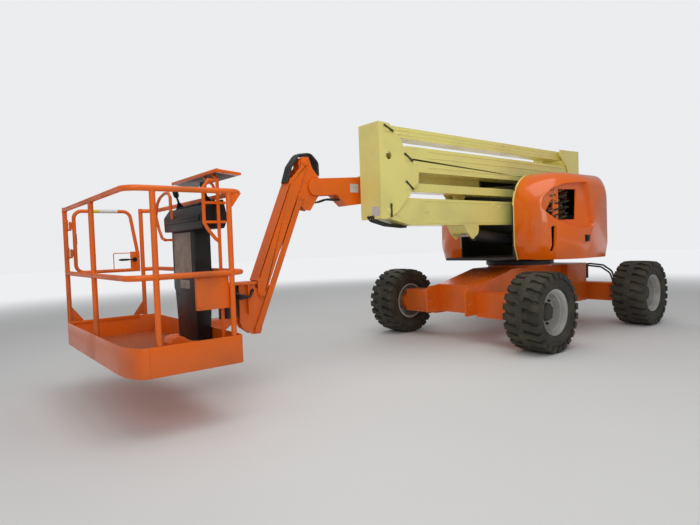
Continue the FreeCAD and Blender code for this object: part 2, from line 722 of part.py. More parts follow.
def engine_and_tank():
    engine = piece("engine_block")
    block(engine, ("-420", "420"), ("-hood_outer + 180", "-hood_inner - 60"), ("deck_top", "deck_top + 560"))
    tank = piece("oil_tank")
    block(tank, ("-520", "60"), ("hood_inner + 60", "hood_outer - 180"), ("deck_top", "deck_top + 480"))
    rod(tank, "z", "55", "deck_top + 480", "deck_top + 520", ("-60", "hood_inner + 200"))


# Tower


def tower_booms():
    lower = piece("lower_boom", "lower_pivot_x", "tower_y", "lower_pivot_z")
    # X and Z of the lower boom's side from its pin on the mast, its far end first
    side = (
        ("90", "-lower_half_high"),
        ("tower_long - 312", "-lower_half_high"),
        ("tower_long - 40", "-75"),
        ("tower_long + 30", "-75"),
        ("tower_long + 75", "-35"),
        ("tower_long + 80", "20"),
        ("tower_long + 60", "60"),
        ("tower_long + 10", "95"),
        ("tower_long - 60", "lower_half_high"),
        ("60", "lower_half_high"),
        ("-36", "88"),
        ("-88", "36"),
        ("-88", "-36"),
        ("-36", "-88"),
    )
    slab(lower, "XZ_Plane", side, "-tower_half", "tower_half")
    # X and Z of the bracket plates that hold the tower cylinder's eye, and of the web in front of it
    bracket = (
        ("tower_eye_x + 199", "-lower_half_high + 4"),
        ("tower_eye_x + 130", "tower_eye_z"),
        ("tower_eye_x + 44", "tower_eye_z - 66"),
        ("tower_eye_x - 48", "tower_eye_z - 8"),
        ("tower_eye_x - 67", "tower_eye_z + 45"),
        ("tower_eye_x - 60", "-lower_half_high + 4"),
    )
    web = (
        *bracket[:2],
        ("tower_eye_x + 116", "tower_eye_z + 4"),
        ("tower_eye_x + 183", "-lower_half_high + 4"),
    )
    for low, high in mirrored_pair("tower_half - 17", "tower_half"):
        slab(lower, "XZ_Plane", bracket, low, high)
    slab(lower, "XZ_Plane", web, "-tower_half + 16", "tower_half - 16")

    link = piece(
        "lower_link", "lower_pivot_x + lower_link_x", "tower_y", "lower_pivot_z + lower_link_z"
    )
    slab(link, "XZ_Plane", link_side("lower_link_half"), "-link_half", "link_half")

    upper = piece("upper_boom", "upper_rear_x", "tower_y", "upper_front_z")
    # X and Z of the upper boom's side from its rear pin
    side = (
        ("50", "-upper_half_high"),
        ("tower_long - 20", "-upper_half_high"),
        ("tower_long + 55", "-83"),
        ("tower_long + 95", "-30"),
        ("tower_long + 95", "30"),
        ("tower_long + 55", "83"),
        ("tower_long - 20", "upper_half_high"),
        ("30", "upper_half_high"),
        ("-20", "75"),
        ("-62", "25"),
        ("-62", "-25"),
        ("-20", "-66"),
    )
    slab(upper, "XZ_Plane", side, "-tower_half", "tower_half")

    top_link = piece("upper_link", "upper_rear_x + upper_link_x", "tower_y", "upper_front_z + upper_link_z")
    slab(top_link, "XZ_Plane", link_side("top_link_half"), "-link_half", "link_half")

    for body, pin, half in (
        (lower, "tower_pin", "tower_half"),
        (link, "link_pin", "link_half"),
        (upper, "tower_pin", "tower_half"),
        (top_link, "link_pin", "link_half"),
    ):
        for at in ("0", "tower_long"):
            bore(body, pin, half, (at, "0"))


def link_side(half):
    """X and Z of a tower link's side, from its rear pin."""
    return (
        ("0", f"-{half}"),
        ("tower_long", f"-{half}"),
        (f"tower_long + {half} * 0.7", f"-{half} * 0.7"),
        (f"tower_long + {half}", "0"),
        (f"tower_long + {half} * 0.7", f"{half} * 0.7"),
        ("tower_long", half),
        ("0", half),
        (f"-{half} * 0.7", f"{half} * 0.7"),
        (f"-{half}", "0"),
        (f"-{half} * 0.7", f"-{half} * 0.7"),
    )


def front_upright():
    body = piece("front_upright", "front_pin_x", "tower_y", "lower_pivot_z")
    top_x = "upper_pivot_x + upper_link_x"
    top_z = "upper_pivot_z + upper_link_z"
    # X and Z of the side plates from the lower boom's pin, from the front foot upwards and round
    plate = (
        ("108", "-73"),
        ("108", f"{top_z} + 66"),
        (f"{top_x} - 35", f"{top_z} + 56"),
        (f"{top_x} - 69", f"{top_z} + 28"),
        ("upper_pivot_x + 68", "upper_pivot_z + 168"),
        ("upper_pivot_x + 45", "upper_pivot_z + 115"),
        ("upper_pivot_x - 2", "upper_pivot_z + 87"),
        ("upper_pivot_x - 77", "upper_pivot_z"),
        ("upper_pivot_x - 167", "upper_pivot_z - 132"),
        ("lower_link_x - 152", "lower_link_z + 39"),
        ("lower_link_x - 47", "lower_link_z - 41"),
        ("lower_link_x - 27", "lower_link_z - 96"),
        ("-236", "111"),
        ("-104", "-15"),
        ("33", "-72"),
    )
    for low, high in mirrored_pair("plate_in", "plate_out"):
        slab(body, "XZ_Plane", plate, low, high)
    block(body, ("92", "108"), ("-plate_in - 1", "plate_in + 1"), ("-73", f"{top_z} + 66"))
    many_sided(body, "y", 24, "39", "-plate_out - 1", "plate_out + 1", ("-15", "upper_pivot_z + 7"), cut=True)
    pins = (
        ("tower_pin", "0", "0"),
        ("link_pin", "lower_link_x", "lower_link_z"),
        ("tower_pin", "upper_pivot_x", "upper_pivot_z"),
        ("link_pin", top_x, top_z),
    )
    for radius, x, z in pins:
        rod(body, "y", radius, "-plate_in - 4", "plate_in + 4", (x, z))


def rear_upright():
    body = piece("rear_upright", "upper_rear_x", "0", "upper_front_z")
    # X and Z from the upper boom's rear pin: plates beside the tower booms
    plate = (
        ("-91", "348"),
        ("upper_link_x + 135", "upper_link_z + 72"),
        ("upper_link_x + 130", "upper_link_z - 11"),
        ("219", "98"),
        ("150", "-60"),
        ("0", "-118"),
        ("-91", "-60"),
    )
    for low, high in mirrored_pair("plate_in", "plate_out"):
        slab(body, "XZ_Plane", plate, f"tower_y + ({low})", f"tower_y + ({high})")
    # plates beside the main boom, reaching down to its cylinder's foot
    foot_x = "boom_pivot_x + boom_foot_x"
    foot_z = "boom_pivot_z + boom_foot_z"
    side = (
        ("-91", "-60"),
        ("-91", "300"),
        ("134", "300"),
        ("219", "120"),
        ("244", "-120"),
        (f"{foot_x} + 60", f"{foot_z} + 60"),
        (f"{foot_x} + 60", f"{foot_z} - 50"),
        (f"{foot_x} - 50", f"{foot_z} - 60"),
        ("164", "-480"),
        ("-6", "-200"),
    )
    for low, high in mirrored_pair("boom_cheek", "boom_cheek + tower_plate"):
        slab(body, "XZ_Plane", side, f"boom_y + ({low})", f"boom_y + ({high})")
    block(
        body,
        ("-91", "-75"),
        ("boom_y - boom_cheek - tower_plate", "tower_y + plate_out"),
        ("-60", "upper_link_z + 72"),
    )
    for radius, x, z in (("tower_pin", "0", "0"), ("link_pin", "upper_link_x", "upper_link_z")):
        rod(body, "y", radius, "tower_y - plate_in - 4", "tower_y + plate_in + 4", (x, z))
    for radius, x, z in (("tower_pin", "boom_pivot_x", "boom_pivot_z"), ("link_pin", foot_x, foot_z)):
        rod(body, "y", radius, "boom_y - boom_cheek - 4", "boom_y + boom_cheek + 4", (x, z))


# Main boom


def booms_on_slope():
    boom = piece("main_boom", "boom_x", "boom_y", "boom_z", "boom_slope")
    wide = ("-boom_half_wide", "boom_half_wide")
    block(boom, ("0", "boom_long"), wide, ("-boom_half_high", "boom_half_high"))
    rod(boom, "y", "boom_half_high", *wide)
    inner_high = "fly_half_high + fly_play"
    inner_wide = "fly_half_wide + fly_play"
    block(
        boom,
        ("fly_tail - 250", "boom_long + 1"),
        (f"-({inner_wide})", inner_wide),
        (f"-({inner_high})", inner_high),
        cut=True,
    )
    # wear pads at the mouth, above, below and beside the fly boom
    pad_at = ("boom_long - 130", "boom_long - 20")
    for low, high in mirrored_pair("fly_half_high + race_play", f"{inner_high} + 1"):
        block(boom, pad_at, ("-50", "50"), (low, high))
    for low, high in mirrored_pair("fly_half_wide + race_play", f"{inner_wide} + 1"):
        block(boom, pad_at, (low, high), ("-50", "50"))
    # X and Z of the bracket plates that hold the lift cylinder's eye
    bracket = (
        ("boom_eye_x + 190", "-boom_half_high + 4"),
        ("boom_eye_x + 60", "boom_eye_z - 42"),
        ("boom_eye_x - 40", "boom_eye_z - 42"),
        ("boom_eye_x - 190", "-boom_half_high + 4"),
    )
    for low, high in mirrored_pair("50", "66"):
        slab(boom, "XZ_Plane", bracket, low, high)
    bore(boom, "tower_pin", "boom_half_wide", ("0", "0"))

    carrier = piece("hose_carrier", "boom_x", "boom_y", "boom_z", "boom_slope")
    block(carrier, ("300", "1650"), ("boom_half_wide", "boom_half_wide + 26"), ("-95", "85"))

    fly = piece("fly_boom", "boom_x", "boom_y", "boom_z", "boom_slope")
    block(
        fly,
        ("fly_tail", "nose_at"),
        ("-fly_half_wide", "fly_half_wide"),
        ("-fly_half_high", "fly_half_high"),
    )
    rod(fly, "y", "fly_half_high", "-fly_half_wide", "fly_half_wide", ("nose_at", "0"))
    # X and Z of the deep gusset under the fly boom's front
    gusset = (
        ("nose_at - 240", "-fly_half_high + 4"),
        ("nose_at - 365", "-fly_half_high - 118"),
        ("boom_long + 30", "-fly_half_high - 105"),
        ("boom_long + 30", "-fly_half_high + 4"),
    )
    slab(fly, "XZ_Plane", gusset, "-fly_half_wide", "fly_half_wide")
    block(
        fly,
        ("nose_at - fork_deep", "nose_at + fly_half_high + 1"),
        ("-cheek_in", "cheek_in"),
        ("-fly_half_high - 1", "fly_half_high + 1"),
        cut=True,
    )
    rod(fly, "y", "tower_pin", "-cheek_in - 4", "cheek_in + 4", ("nose_at", "0"))


# Jib


def nose():
    body = piece("jib_nose", "nose_x", "boom_y", "nose_z")
    # X and Z from the nose pivot, clockwise from the jib's pin
    plate = (
        ("60", "285"),
        ("jib_up_x + 38", "jib_up_z + 50"),
        ("jib_up_x + 63", "jib_up_z"),
        ("150", "120"),
        ("jib_up_x + jib_link_x + 46", "jib_up_z + jib_link_z + 37"),
        ("jib_up_x + jib_link_x + 56", "jib_up_z + jib_link_z - 13"),
        ("jib_up_x + jib_link_x + 11", "jib_up_z + jib_link_z - 53"),
        ("130", "-215"),
        ("60", "-225"),
        ("20", "-170"),
        ("-60", "-60"),
        ("-85", "20"),
        ("-50", "100"),
        ("20", "180"),
    )
    for low, high in mirrored_pair("nose_in", "nose_half"):
        slab(body, "XZ_Plane", plate, low, high)
    block(body, ("0", "80"), ("-nose_in - 1", "nose_in + 1"), ("50", "110"))
    for low, high in mirrored_pair("nose_in + 2", "jib_half"):
        rod(body, "y", "link_pin", low, high, ("jib_up_x", "jib_up_z"))
    lower = ("jib_up_x + jib_link_x", "jib_up_z + jib_link_z")
    rod(body, "y", "link_pin", "-jib_half", "jib_half", lower)
    bore(body, "tower_pin", "nose_half", ("0", "0"))


def jib():
    tube = piece("jib_tube", "nose_x + jib_up_x", "boom_y", "nose_z + jib_up_z", "jib_slope")
    # X along the jib and Z towards its front face: the side walls, open between them at the back
    rise = "jib_front - jib_cover"
    side = (
        ("-20", "-jib_back"),
        ("jib_long + 20", "-jib_back"),
        ("jib_long + 45", "0"),
        ("jib_long + 20", "40"),
        ("jib_long - cover_to", rise),
        ("jib_long - cover_to - 30", rise),
        ("jib_long - cover_to - 33", f"{rise} - jib_slit"),
        ("cover_from + 63", f"{rise} - jib_slit"),
        ("cover_from + 50", rise),
        ("cover_from", rise),
        ("57", "30"),
        ("-20", "50"),
        ("-57", "12"),
        ("-55", "-25"),
    )
    for low, high in mirrored_pair("jib_half - cheek", "jib_half"):
        slab(tube, "XZ_Plane", side, low, high)
    block(tube, ("cover_from", "jib_long - cover_to"), ("-jib_half", "jib_half"), (rise, "jib_front"))
    for at in ("0", "jib_long"):
        bore(tube, "link_pin", "jib_half", (at, "0"))

    link = piece(
        "jib_link",
        "nose_x + jib_up_x + jib_link_x",
        "boom_y",
        "nose_z + jib_up_z + jib_link_z",
        "jib_slope",
    )
    # X and Z of the link's two side plates, with bosses round the pins
    wide = "(link_pin + 8)"
    plate = (
        ("40", "-jib_link_half"),
        ("jib_long - 40", "-jib_link_half"),
        ("jib_long - 14", f"-{wide}"),
        ("jib_long + 14", f"-{wide}"),
        (f"jib_long + {wide}", "-14"),
        (f"jib_long + {wide}", "14"),
        ("jib_long + 14", wide),
        ("jib_long - 14", wide),
        ("jib_long - 40", "jib_link_half"),
        ("40", "jib_link_half"),
        ("14", wide),
        ("-14", wide),
        (f"-{wide}", "14"),
        (f"-{wide}", "-14"),
        ("-14", f"-{wide}"),
        ("14", f"-{wide}"),
    )
    for low, high in mirrored_pair("jib_half - cheek", "jib_half"):
        slab(link, "XZ_Plane", plate, low, high)
    block(
        link,
        ("jib_long - 420", "jib_long - 150"),
        ("-jib_half + cheek", "jib_half - cheek"),
        ("-jib_link_half", "-jib_link_half + 10"),
    )
    for at in ("0", "jib_long"):
        bore(link, "link_pin", "jib_half", (at, "0"))


def jib_end():
    body = piece("jib_bracket", "jib_low_x", "boom_y", "jib_low_z")
    # X and Z from the jib's lower pin
    plate = (
        ("-42", "-30"),
        ("-42", "20"),
        ("-15", "42"),
        ("20", "40"),
        ("62", "50"),
        ("62", "rotator_high + 1"),
        ("rotator_x - 80", "rotator_high + 1"),
        ("rotator_x - 80", "rotator_low - 39"),
        ("jib_link_x + 136", "jib_link_z + 28"),
        ("jib_link_x + 50", "jib_link_z - 34"),
        ("jib_link_x - 30", "jib_link_z - 38"),
        ("jib_link_x - 45", "jib_link_z + 20"),
        ("15", "-190"),
    )
    for low, high in mirrored_pair("nose_in", "nose_half"):
        slab(body, "XZ_Plane", plate, low, high)
    block(
        body,
        ("62", "rotator_x + rotator_radius"),
        ("-rotator_radius", "rotator_radius"),
        ("rotator_high + race_play", "rotator_high + 20"),
    )
    block(
        body,
        ("138", "150"),
        ("-rotator_radius", "rotator_radius"),
        ("rotator_low + 20", "rotator_high + 1"),
    )
    for x, z in (("0", "0"), ("jib_link_x", "jib_link_z")):
        for low, high in mirrored_pair("nose_in + 2", "jib_half"):
            rod(body, "y", "link_pin", low, high, (x, z))

    actuator = piece("rotary_actuator", "rotator_at", "boom_y", "jib_low_z")
    rod(actuator, "z", "rotator_radius", "rotator_low", "rotator_high")
    block(
        actuator,
        ("-rotator_x + 150 + race_play", "0"),
        ("-nose_in + race_play", "nose_in - race_play"),
        ("rotator_low + 40", "rotator_high - 40"),
    )


# Platform


def platform():
    mount = piece("platform_mount", "rotator_at", "boom_y", "jib_low_z")
    block(mount, ("-25", "tray_back - 20"), ("-70", "70"), ("rotator_low - 22", "rotator_low - 0.3"))
    rod(mount, "z", "rotator_radius - 12", "rotator_low - 22", "rotator_low - 0.3")
    block(
        mount,
        ("tray_back - 60", "tray_back - 20"),
        ("-160", "160"),
        ("toe_low - jib_low_z - 45", "rail_mid - 30 - jib_low_z"),
    )
    gusset = (
        ("-40", "rotator_low - 22"),
        ("tray_back - 60", "rotator_low - 22"),
        ("tray_back - 60", "toe_low - jib_low_z"),
        ("tray_back - 120", "toe_low - jib_low_z"),
    )
    for low, high in mirrored_pair("50", "64"):
        slab(mount, "XZ_Plane", gusset, low, high)
    block(
        mount,
        ("tray_back - 20", "tray_front - 120"),
        ("-60", "60"),
        ("toe_low - jib_low_z - 45", "toe_low - jib_low_z"),
    )
    block(
        mount,
        ("tray_back - 20.5", "tray_back"),
        ("-160", "160"),
        ("toe_low - jib_low_z", "toe_high - jib_low_z - 10"),
    )

    tray = piece("platform_tray", "rotator_at", "boom_y", "0")
    # shares of the front left corner's bow along X and Y, and of the wall's thickness inwards
    bow = ((0, 1, 1, 0.04), (0.13, 0.44, 0.99, 0.2), (0.44, 0.12, 0.83, 0.66), (1, 0, 0.28, 1))

    def plan(inset):
        corners = [
            (f"tray_back + {inset}", f"-platform_half + {inset}"),
            (f"tray_front - {inset}", f"-platform_half + {inset}"),
        ]
        for x, y, in_x, in_y in bow:
            corners.append(
                (
                    f"tray_front - toe_bow_x * {x} - {inset} * {in_x}",
                    f"platform_half - toe_bow_y * {y} - {inset} * {in_y}",
                )
            )
        corners.append((f"tray_back + {inset}", f"platform_half - {inset}"))
        return corners

    slab(tray, "XY_Plane", plan("0"), "toe_low", "toe_high")
    slab(tray, "XY_Plane", plan("tray_wall"), "tray_floor", "toe_high + 1", cut=True)


def rails():
    body = piece("platform_rails", "rotator_at", "boom_y", "0")
    front = "(tray_front - rail_edge)"
    near = "(platform_half - rail_edge)"
    far = "(-platform_half - far_rail)"
    rear = "(tray_back - rail_back)"
    # X and Y of the rails' centre line from the gate's hinge post round to its latch post
    route = (
        (front, far),
        (front, f"{near} - rail_corner"),
        (f"{front} - rail_corner * 0.29", f"{near} - rail_corner * 0.29"),
        (f"{front} - rail_corner", near),
        (f"{rear} + rail_corner", near),
        (f"{rear} + rail_corner * 0.29", f"{near} - rail_corner * 0.29"),
        (rear, f"{near} - rail_corner"),
        (rear, f"{far} + 160"),
        (f"{rear} + 21", f"{far} + 80"),
        (f"{rear} + 75", f"{far} + 20"),
        (f"{rear} + 132", far),
    )
    for height in ("rail_mid", "rail_top"):
        tube(body, "XY_Plane", route, height, "y")
    # X and Y of the posts and the height of their feet
    posts = (
        (front, far, "toe_low + 20", "rail_top + rail_radius"),
        (f"{rear} + 132", far, "toe_low + 20", "rail_top + rail_radius"),
        (front, "platform_half * 0.03", "tray_floor", "rail_top"),
        (f"{front} - 162", near, "tray_floor", "rail_top"),
        (f"{rear} + 105", near, "tray_floor", "rail_top"),
    )
    for x, y, low, high in posts:
        many_sided(body, "z", 12, "rail_radius", low, high, (x, y))
    # foot plates that hold the two outer posts on the toe board
    for x in (front, f"{rear} + 132"):
        for low in ("toe_low + 30", "toe_high - 40"):
            block(body, (f"{x} - 14", f"{x} + 14"), (f"{far} + 8", "-platform_half"), (low, f"{low} + 30"))
    # flat box under the middle rail
    block(
        body,
        ("tray_back + 76", "tray_back + 307"),
        (f"{near} - 48", f"{near} - 12"),
        ("rail_mid - 240", "rail_mid - 12"),
    )
    hinge = f"({front} - gate_hinge)"
    for z in GATE_HINGES:
        lug = (f"{z} - 45", f"{z} - 31")
        many_sided(body, "z", 12, "8", *lug, (hinge, far))
        block(body, (hinge, f"{front} - 6"), (f"{far} - 5", f"{far} + 5"), lug)
        rod(body, "z", "hinge_pin", f"{z} - 38", f"{z} + 36", (hinge, far))


# Heights of the gate's hinges
GATE_HINGES = ("1195", "1437")


def gate():
    body = piece(
        "platform_gate",
        "rotator_at + tray_front - rail_edge - gate_hinge",
        "boom_y - platform_half - far_rail",
        "0",
    )
    bar = "(gate_hinge - gate_bar)"
    # X and Z of the gate's bent tube from the latch plate round over the hinges
    route = (
        ("-520", "gate_low"),
        (f"{bar} - 68", "gate_low"),
        (f"{bar} - 16", "gate_low + 26"),
        (bar, "gate_low + 71"),
        (bar, "gate_high - 67"),
        (f"{bar} - 28", "gate_high - 17"),
        (f"{bar} - 68", "gate_high"),
        ("-413", "gate_high"),
        ("-463", "gate_high - 22"),
        ("-521", "gate_high - 124"),
        ("-565", "gate_low + 131"),
    )
    tube(body, "XZ_Plane", route, "0", "x", "gate_radius")
    block(body, ("-578", "-493"), ("-5", "5"), ("gate_low - 16", "gate_low + 172"))
    for z in GATE_HINGES:
        many_sided(body, "z", 12, "12", f"{z} - 30", f"{z} + 30")
        block(body, (bar, "-8"), ("-7", "7"), (f"{z} - 30", f"{z} + 30"))
        rod(body, "z", "hinge_pin + pin_play", f"{z} - 31", f"{z} + 31", cut=True)


def console():
    body = piece("console", "rotator_at", "boom_y", "0")
    block(body, ("tray_back + 10", "tray_back + 139"), ("-5", "455"), ("tray_floor", "1337"))
    # X and Z of the console's head
    head = (
        ("tray_back - 10", "1400"),
        ("tray_back + 20", "1330"),
        ("tray_back + 189", "1330"),
        ("tray_back + 192", "1440"),
        ("tray_back + 150", "1500"),
        ("tray_back + 20", "1538"),
    )
    slab(body, "XZ_Plane", head, "-25", "725")

    guards = piece("console_guards", "rotator_at", "boom_y", "0")
    near = "platform_half - 140"
    leg = "(tray_back + 86)"
    many_sided(guards, "z", 8, "guard_radius", "tray_floor", "rail_top + 97", (leg, near))
    # X and Z of the near guard's front leg, bent back to its rear leg at both ends
    hoop = (
        (leg, "rail_top + 85"),
        (f"{leg} + 64", "rail_top + 85"),
        (f"{leg} + 106", "rail_top + 28"),
        (f"{leg} + 106", "rail_top - 210"),
        (f"{leg} + 78", "rail_top - 258"),
        (f"{leg} + 26", "rail_top - 321"),
        (leg, "rail_top - 340"),
    )
    tube(guards, "XZ_Plane", hoop, near, "x", "guard_radius", 8)
    for x, z in (("0", "rail_top - 70"), ("0", "rail_top - 203")):
        block(
            guards,
            (f"{leg} - 53", f"{leg} + 106"),
            (f"{near} - 9", f"{near} + 9"),
            (f"{z} - 9", f"{z} + 9"),
        )
    # Y and Z of the far guard in front of the console, from the head round over it
    hoop = (
        ("40", "rail_top - 305"),
        ("-30", "rail_top - 290"),
        ("-101", "rail_top - 210"),
        ("-158", "rail_top - 101"),
        ("-110", "rail_top - 5"),
        ("-43", "rail_top + 36"),
        ("60", "rail_top + 60"),
        ("150", "rail_top + 55"),
        ("185", "rail_top + 20"),
        ("185", "rail_top - 90"),
    )
    tube(guards, "YZ_Plane", hoop, "tray_back + 206", "y", "guard_radius", 8)
    block(
        guards,
        ("tray_back + 139", "tray_back + 206"),
        ("30", "48"),
        ("rail_top - 314", "rail_top - 296"),
    )
    block(
        guards,
        ("tray_back + 192.3", "tray_back + 206"),
        ("176", "194"),
        ("rail_top - 150", "rail_top - 82"),
    )


# Cylinders


def cylinder(name, place, pitch, long, barrel, boss_half, pin_half, foot_half):
    """A cylinder from its foot along +X: the barrel with its foot eye, and the rod with its own pin."""
    x, y, z = place
    body = piece(name + "_barrel", x, y, z, pitch)
    rod(body, "x", barrel, "60", f"{long} - 130")
    foot = [(str(round(a * 46, 3)), str(round(b * 46, 3))) for a, b in OCTAGON]
    slab(body, "XZ_Plane", foot, f"-({foot_half})", foot_half)
    block(body, ("0", "70"), (f"-({foot_half})", foot_half), ("-42", "42"))
    rod(body, "x", f"{barrel} * 0.5 + race_play", "100", f"{long} - 129", cut=True)
    bore(body, "link_pin", foot_half, ("0", "0"))
    shaft = piece(name + "_rod", x, y, z, pitch)
    rod(shaft, "x", f"{barrel} * 0.5", "130", f"{long} - 30")
    eye = [(f"({long}) + {a * 42:.3f}", str(round(b * 42, 3))) for a, b in OCTAGON]
    slab(shaft, "XZ_Plane", eye, f"-({boss_half})", boss_half)
    if pin_half:
        many_sided(shaft, "y", 16, "link_pin", f"-({pin_half})", pin_half, (long, "0"))


def angle_and_length(x, z):
    """The pitch, nose-down in degrees, and the length of a line given by its X and Z."""
    return f"-atan2(({z}); ({x})) / 1deg", f"sqrt(({x})^2 + ({z})^2)"


def cylinders():
    run_x = "tower_eye_x - tower_foot_x"
    run_z = "tower_eye_z - tower_foot_z"
    pitch, long = angle_and_length(run_x, run_z)
    foot = ("lower_pivot_x + tower_foot_x", "tower_y", "lower_pivot_z + tower_foot_z")
    cylinder("tower", foot, pitch, long, "tower_barrel", "50", "tower_half - 17 - race_play", "tower_half")

    run_x = "boom_eye_x * boom_cos + boom_eye_z * boom_sin - boom_foot_x"
    run_z = "boom_eye_z * boom_cos - boom_eye_x * boom_sin - boom_foot_z"
    pitch, long = angle_and_length(run_x, run_z)
    foot = ("boom_x + boom_foot_x", "boom_y", "boom_z + boom_foot_z")
    cylinder("lift", foot, pitch, long, "boom_barrel", "36", "50 - race_play", "boom_half_wide")

    run_x = "jib_long * jib_cos - jib_link_x"
    run_z = "-jib_long * jib_sin - jib_link_z"
    pitch, long = angle_and_length(run_x, run_z)
    foot = ("nose_x + jib_up_x + jib_link_x", "boom_y", "nose_z + jib_up_z + jib_link_z")
    cylinder("jib", foot, pitch, long, "jib_barrel", "nose_in - side_play", None, "nose_in - side_play")


def build():
    chassis_frame()
    drive_axle()
    steer_axle()
    knuckle("knuckle_left", 1)
    knuckle("knuckle_right", -1)
    tie_rod()
    for place, x in (("front", "axle_x"), ("rear", "-axle_x")):
        for name, side in (("left", 1), ("right", -1)):
            tyre(f"tyre_{place}_{name}", x, side)
            rim(f"rim_{place}_{name}", x, side)
    slew_ring()
    deck()
    counterweight()
    bulkheads()
    hood("hood_left", 1)
    hood("hood_right", -1)
    engine_and_tank()
    tower_booms()
    front_upright()
    rear_upright()
    booms_on_slope()
    nose()
    jib()
    jib_end()
    platform()
    rails()
    gate()
    console()
    cylinders()


build()
doc.recompute()
faults = [
    f"{item.Name} {item.State}"
    for item in doc.Objects
    if "Invalid" in item.State or "Error" in item.State
]
for item in PARTS:
    if item.Shape.isNull() or not item.Shape.isValid():
        faults.append(f"{item.Label} shape")
if faults:
    raise RuntimeError("; ".join(faults))

os.makedirs("parts", exist_ok=True)
for item in PARTS:
    item.Shape.exportStep(f"parts/{item.Label}.step")
    box = item.Shape.BoundBox
    print(
        f"{item.Label:18} {len(item.Shape.Solids)} solids",
        f"x {box.XMin:.0f}..{box.XMax:.0f} y {box.YMin:.0f}..{box.YMax:.0f} z {box.ZMin:.0f}..{box.ZMax:.0f}",
    )
print("sub-parts:", len(PARTS))
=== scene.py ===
import json
import math

import bmesh
import bpy
from bpy.props import FloatProperty, FloatVectorProperty, IntProperty, PointerProperty
from mathutils import Matrix, Vector


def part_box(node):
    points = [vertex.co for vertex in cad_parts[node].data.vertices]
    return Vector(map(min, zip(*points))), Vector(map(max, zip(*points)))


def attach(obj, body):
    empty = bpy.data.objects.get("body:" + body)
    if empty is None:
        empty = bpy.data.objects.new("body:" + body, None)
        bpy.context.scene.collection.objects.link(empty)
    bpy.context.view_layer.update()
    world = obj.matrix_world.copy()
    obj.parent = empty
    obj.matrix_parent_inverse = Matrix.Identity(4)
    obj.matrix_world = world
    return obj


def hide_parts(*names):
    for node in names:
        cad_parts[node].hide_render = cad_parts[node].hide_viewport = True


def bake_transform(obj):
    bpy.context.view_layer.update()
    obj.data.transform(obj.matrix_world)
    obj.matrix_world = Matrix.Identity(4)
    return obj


bl_info = {
    "name": "Articulating boom lift",
    "version": (1, 0, 0),
    "blender": (4, 5, 0),
    "location": "3D View > Sidebar > Boom lift",
    "description": "Dresses the packed frame of an articulating boom lift",
    "category": "Object",
}

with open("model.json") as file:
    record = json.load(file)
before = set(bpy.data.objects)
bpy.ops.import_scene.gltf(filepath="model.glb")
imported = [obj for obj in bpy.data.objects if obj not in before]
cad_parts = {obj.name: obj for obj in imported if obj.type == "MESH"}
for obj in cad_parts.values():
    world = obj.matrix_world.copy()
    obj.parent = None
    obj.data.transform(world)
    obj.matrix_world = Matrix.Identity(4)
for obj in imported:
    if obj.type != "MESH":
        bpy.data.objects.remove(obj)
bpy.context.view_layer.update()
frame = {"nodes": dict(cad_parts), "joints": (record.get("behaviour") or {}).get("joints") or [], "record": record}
PIVOT = {joint["name"]: Vector(joint["pos_m"]) for joint in frame["joints"] if "pos_m" in joint}
SLEW = PIVOT["turntable_turn"]
WHEELS = ("front_left", "front_right", "rear_left", "rear_right")


# Sizes and colours that can be changed


def length(label, default, description):
    return FloatProperty(name=label, description=description, default=default, unit="LENGTH")


def paint(label, default, description):
    return FloatVectorProperty(name=label, description=description, default=default, subtype="COLOR", size=3)


class BoomLiftPaints(bpy.types.PropertyGroup):
    orange: paint("Orange paint", (0.84, 0.140, 0.002), "Chassis, hoods, jib and platform")
    cream: paint("Cream paint", (0.86, 0.765, 0.235), "Tower, main boom and uprights")
    rubber: paint("Tyre rubber", (0.018, 0.0165, 0.013), "Carcass and lugs")
    dust: paint("Dust", (0.082, 0.070, 0.045), "Dry dirt on the tread")
    silver: paint("Rim paint", (0.56, 0.56, 0.54), "Wheel rims")
    black: paint("Black paint", (0.018, 0.018, 0.018), "Cylinders, slew ring and small fittings")


class BoomLiftWheels(bpy.types.PropertyGroup):
    lug_count: IntProperty(name="Lugs", description="Lugs in each row of a tyre", default=24, min=12, max=40)
    lug_deep: length("Lug height", 0.027, "From the carcass to the lug's face")
    lug_wide: length("Lug width", 0.064, "Along the tread")
    nut_ring: length("Nut circle", 0.138, "Radius of the circle of wheel nuts")
    nut_count: IntProperty(name="Nuts", description="Wheel nuts on each rim", default=9, min=5, max=12)


class BoomLiftPlatform(bpy.types.PropertyGroup):
    bend: length("Rail bend", 0.100, "Radius of the rails' bent corners")
    bow_deep: length("Bow depth", 0.110, "How far the toe board's corner falls back")
    bow_long: length("Bow length", 0.320, "How far that corner reaches along the front")


# Shader maths


class Value:
    """A number that changes over a surface, kept as a socket, on which Python's operators add Math nodes."""

    def __init__(self, finish, socket):
        self.finish = finish
        self.socket = socket

    def _math(self, operation, *values):
        return self.finish.node("ShaderNodeMath", {"operation": operation}, dict(enumerate(values)))

    def __add__(self, other):
        return self._math("ADD", self, other)

    def __radd__(self, other):
        return self._math("ADD", other, self)

    def __sub__(self, other):
        return self._math("SUBTRACT", self, other)

    def __rsub__(self, other):
        return self._math("SUBTRACT", other, self)

    def __mul__(self, other):
        return self._math("MULTIPLY", self, other)

    def __rmul__(self, other):
        return self._math("MULTIPLY", other, self)

    def __gt__(self, other):
        return self._math("GREATER_THAN", self, other)

    def __lt__(self, other):
        return self._math("LESS_THAN", self, other)

    def wave(self):
        return self._math("SINE", self)

    def soft_step(self, low, high):
        return self.finish.node(
            "ShaderNodeMapRange",
            {"interpolation_type": "SMOOTHSTEP"},
            {"Value": self, "From Min": low, "From Max": high},
        )


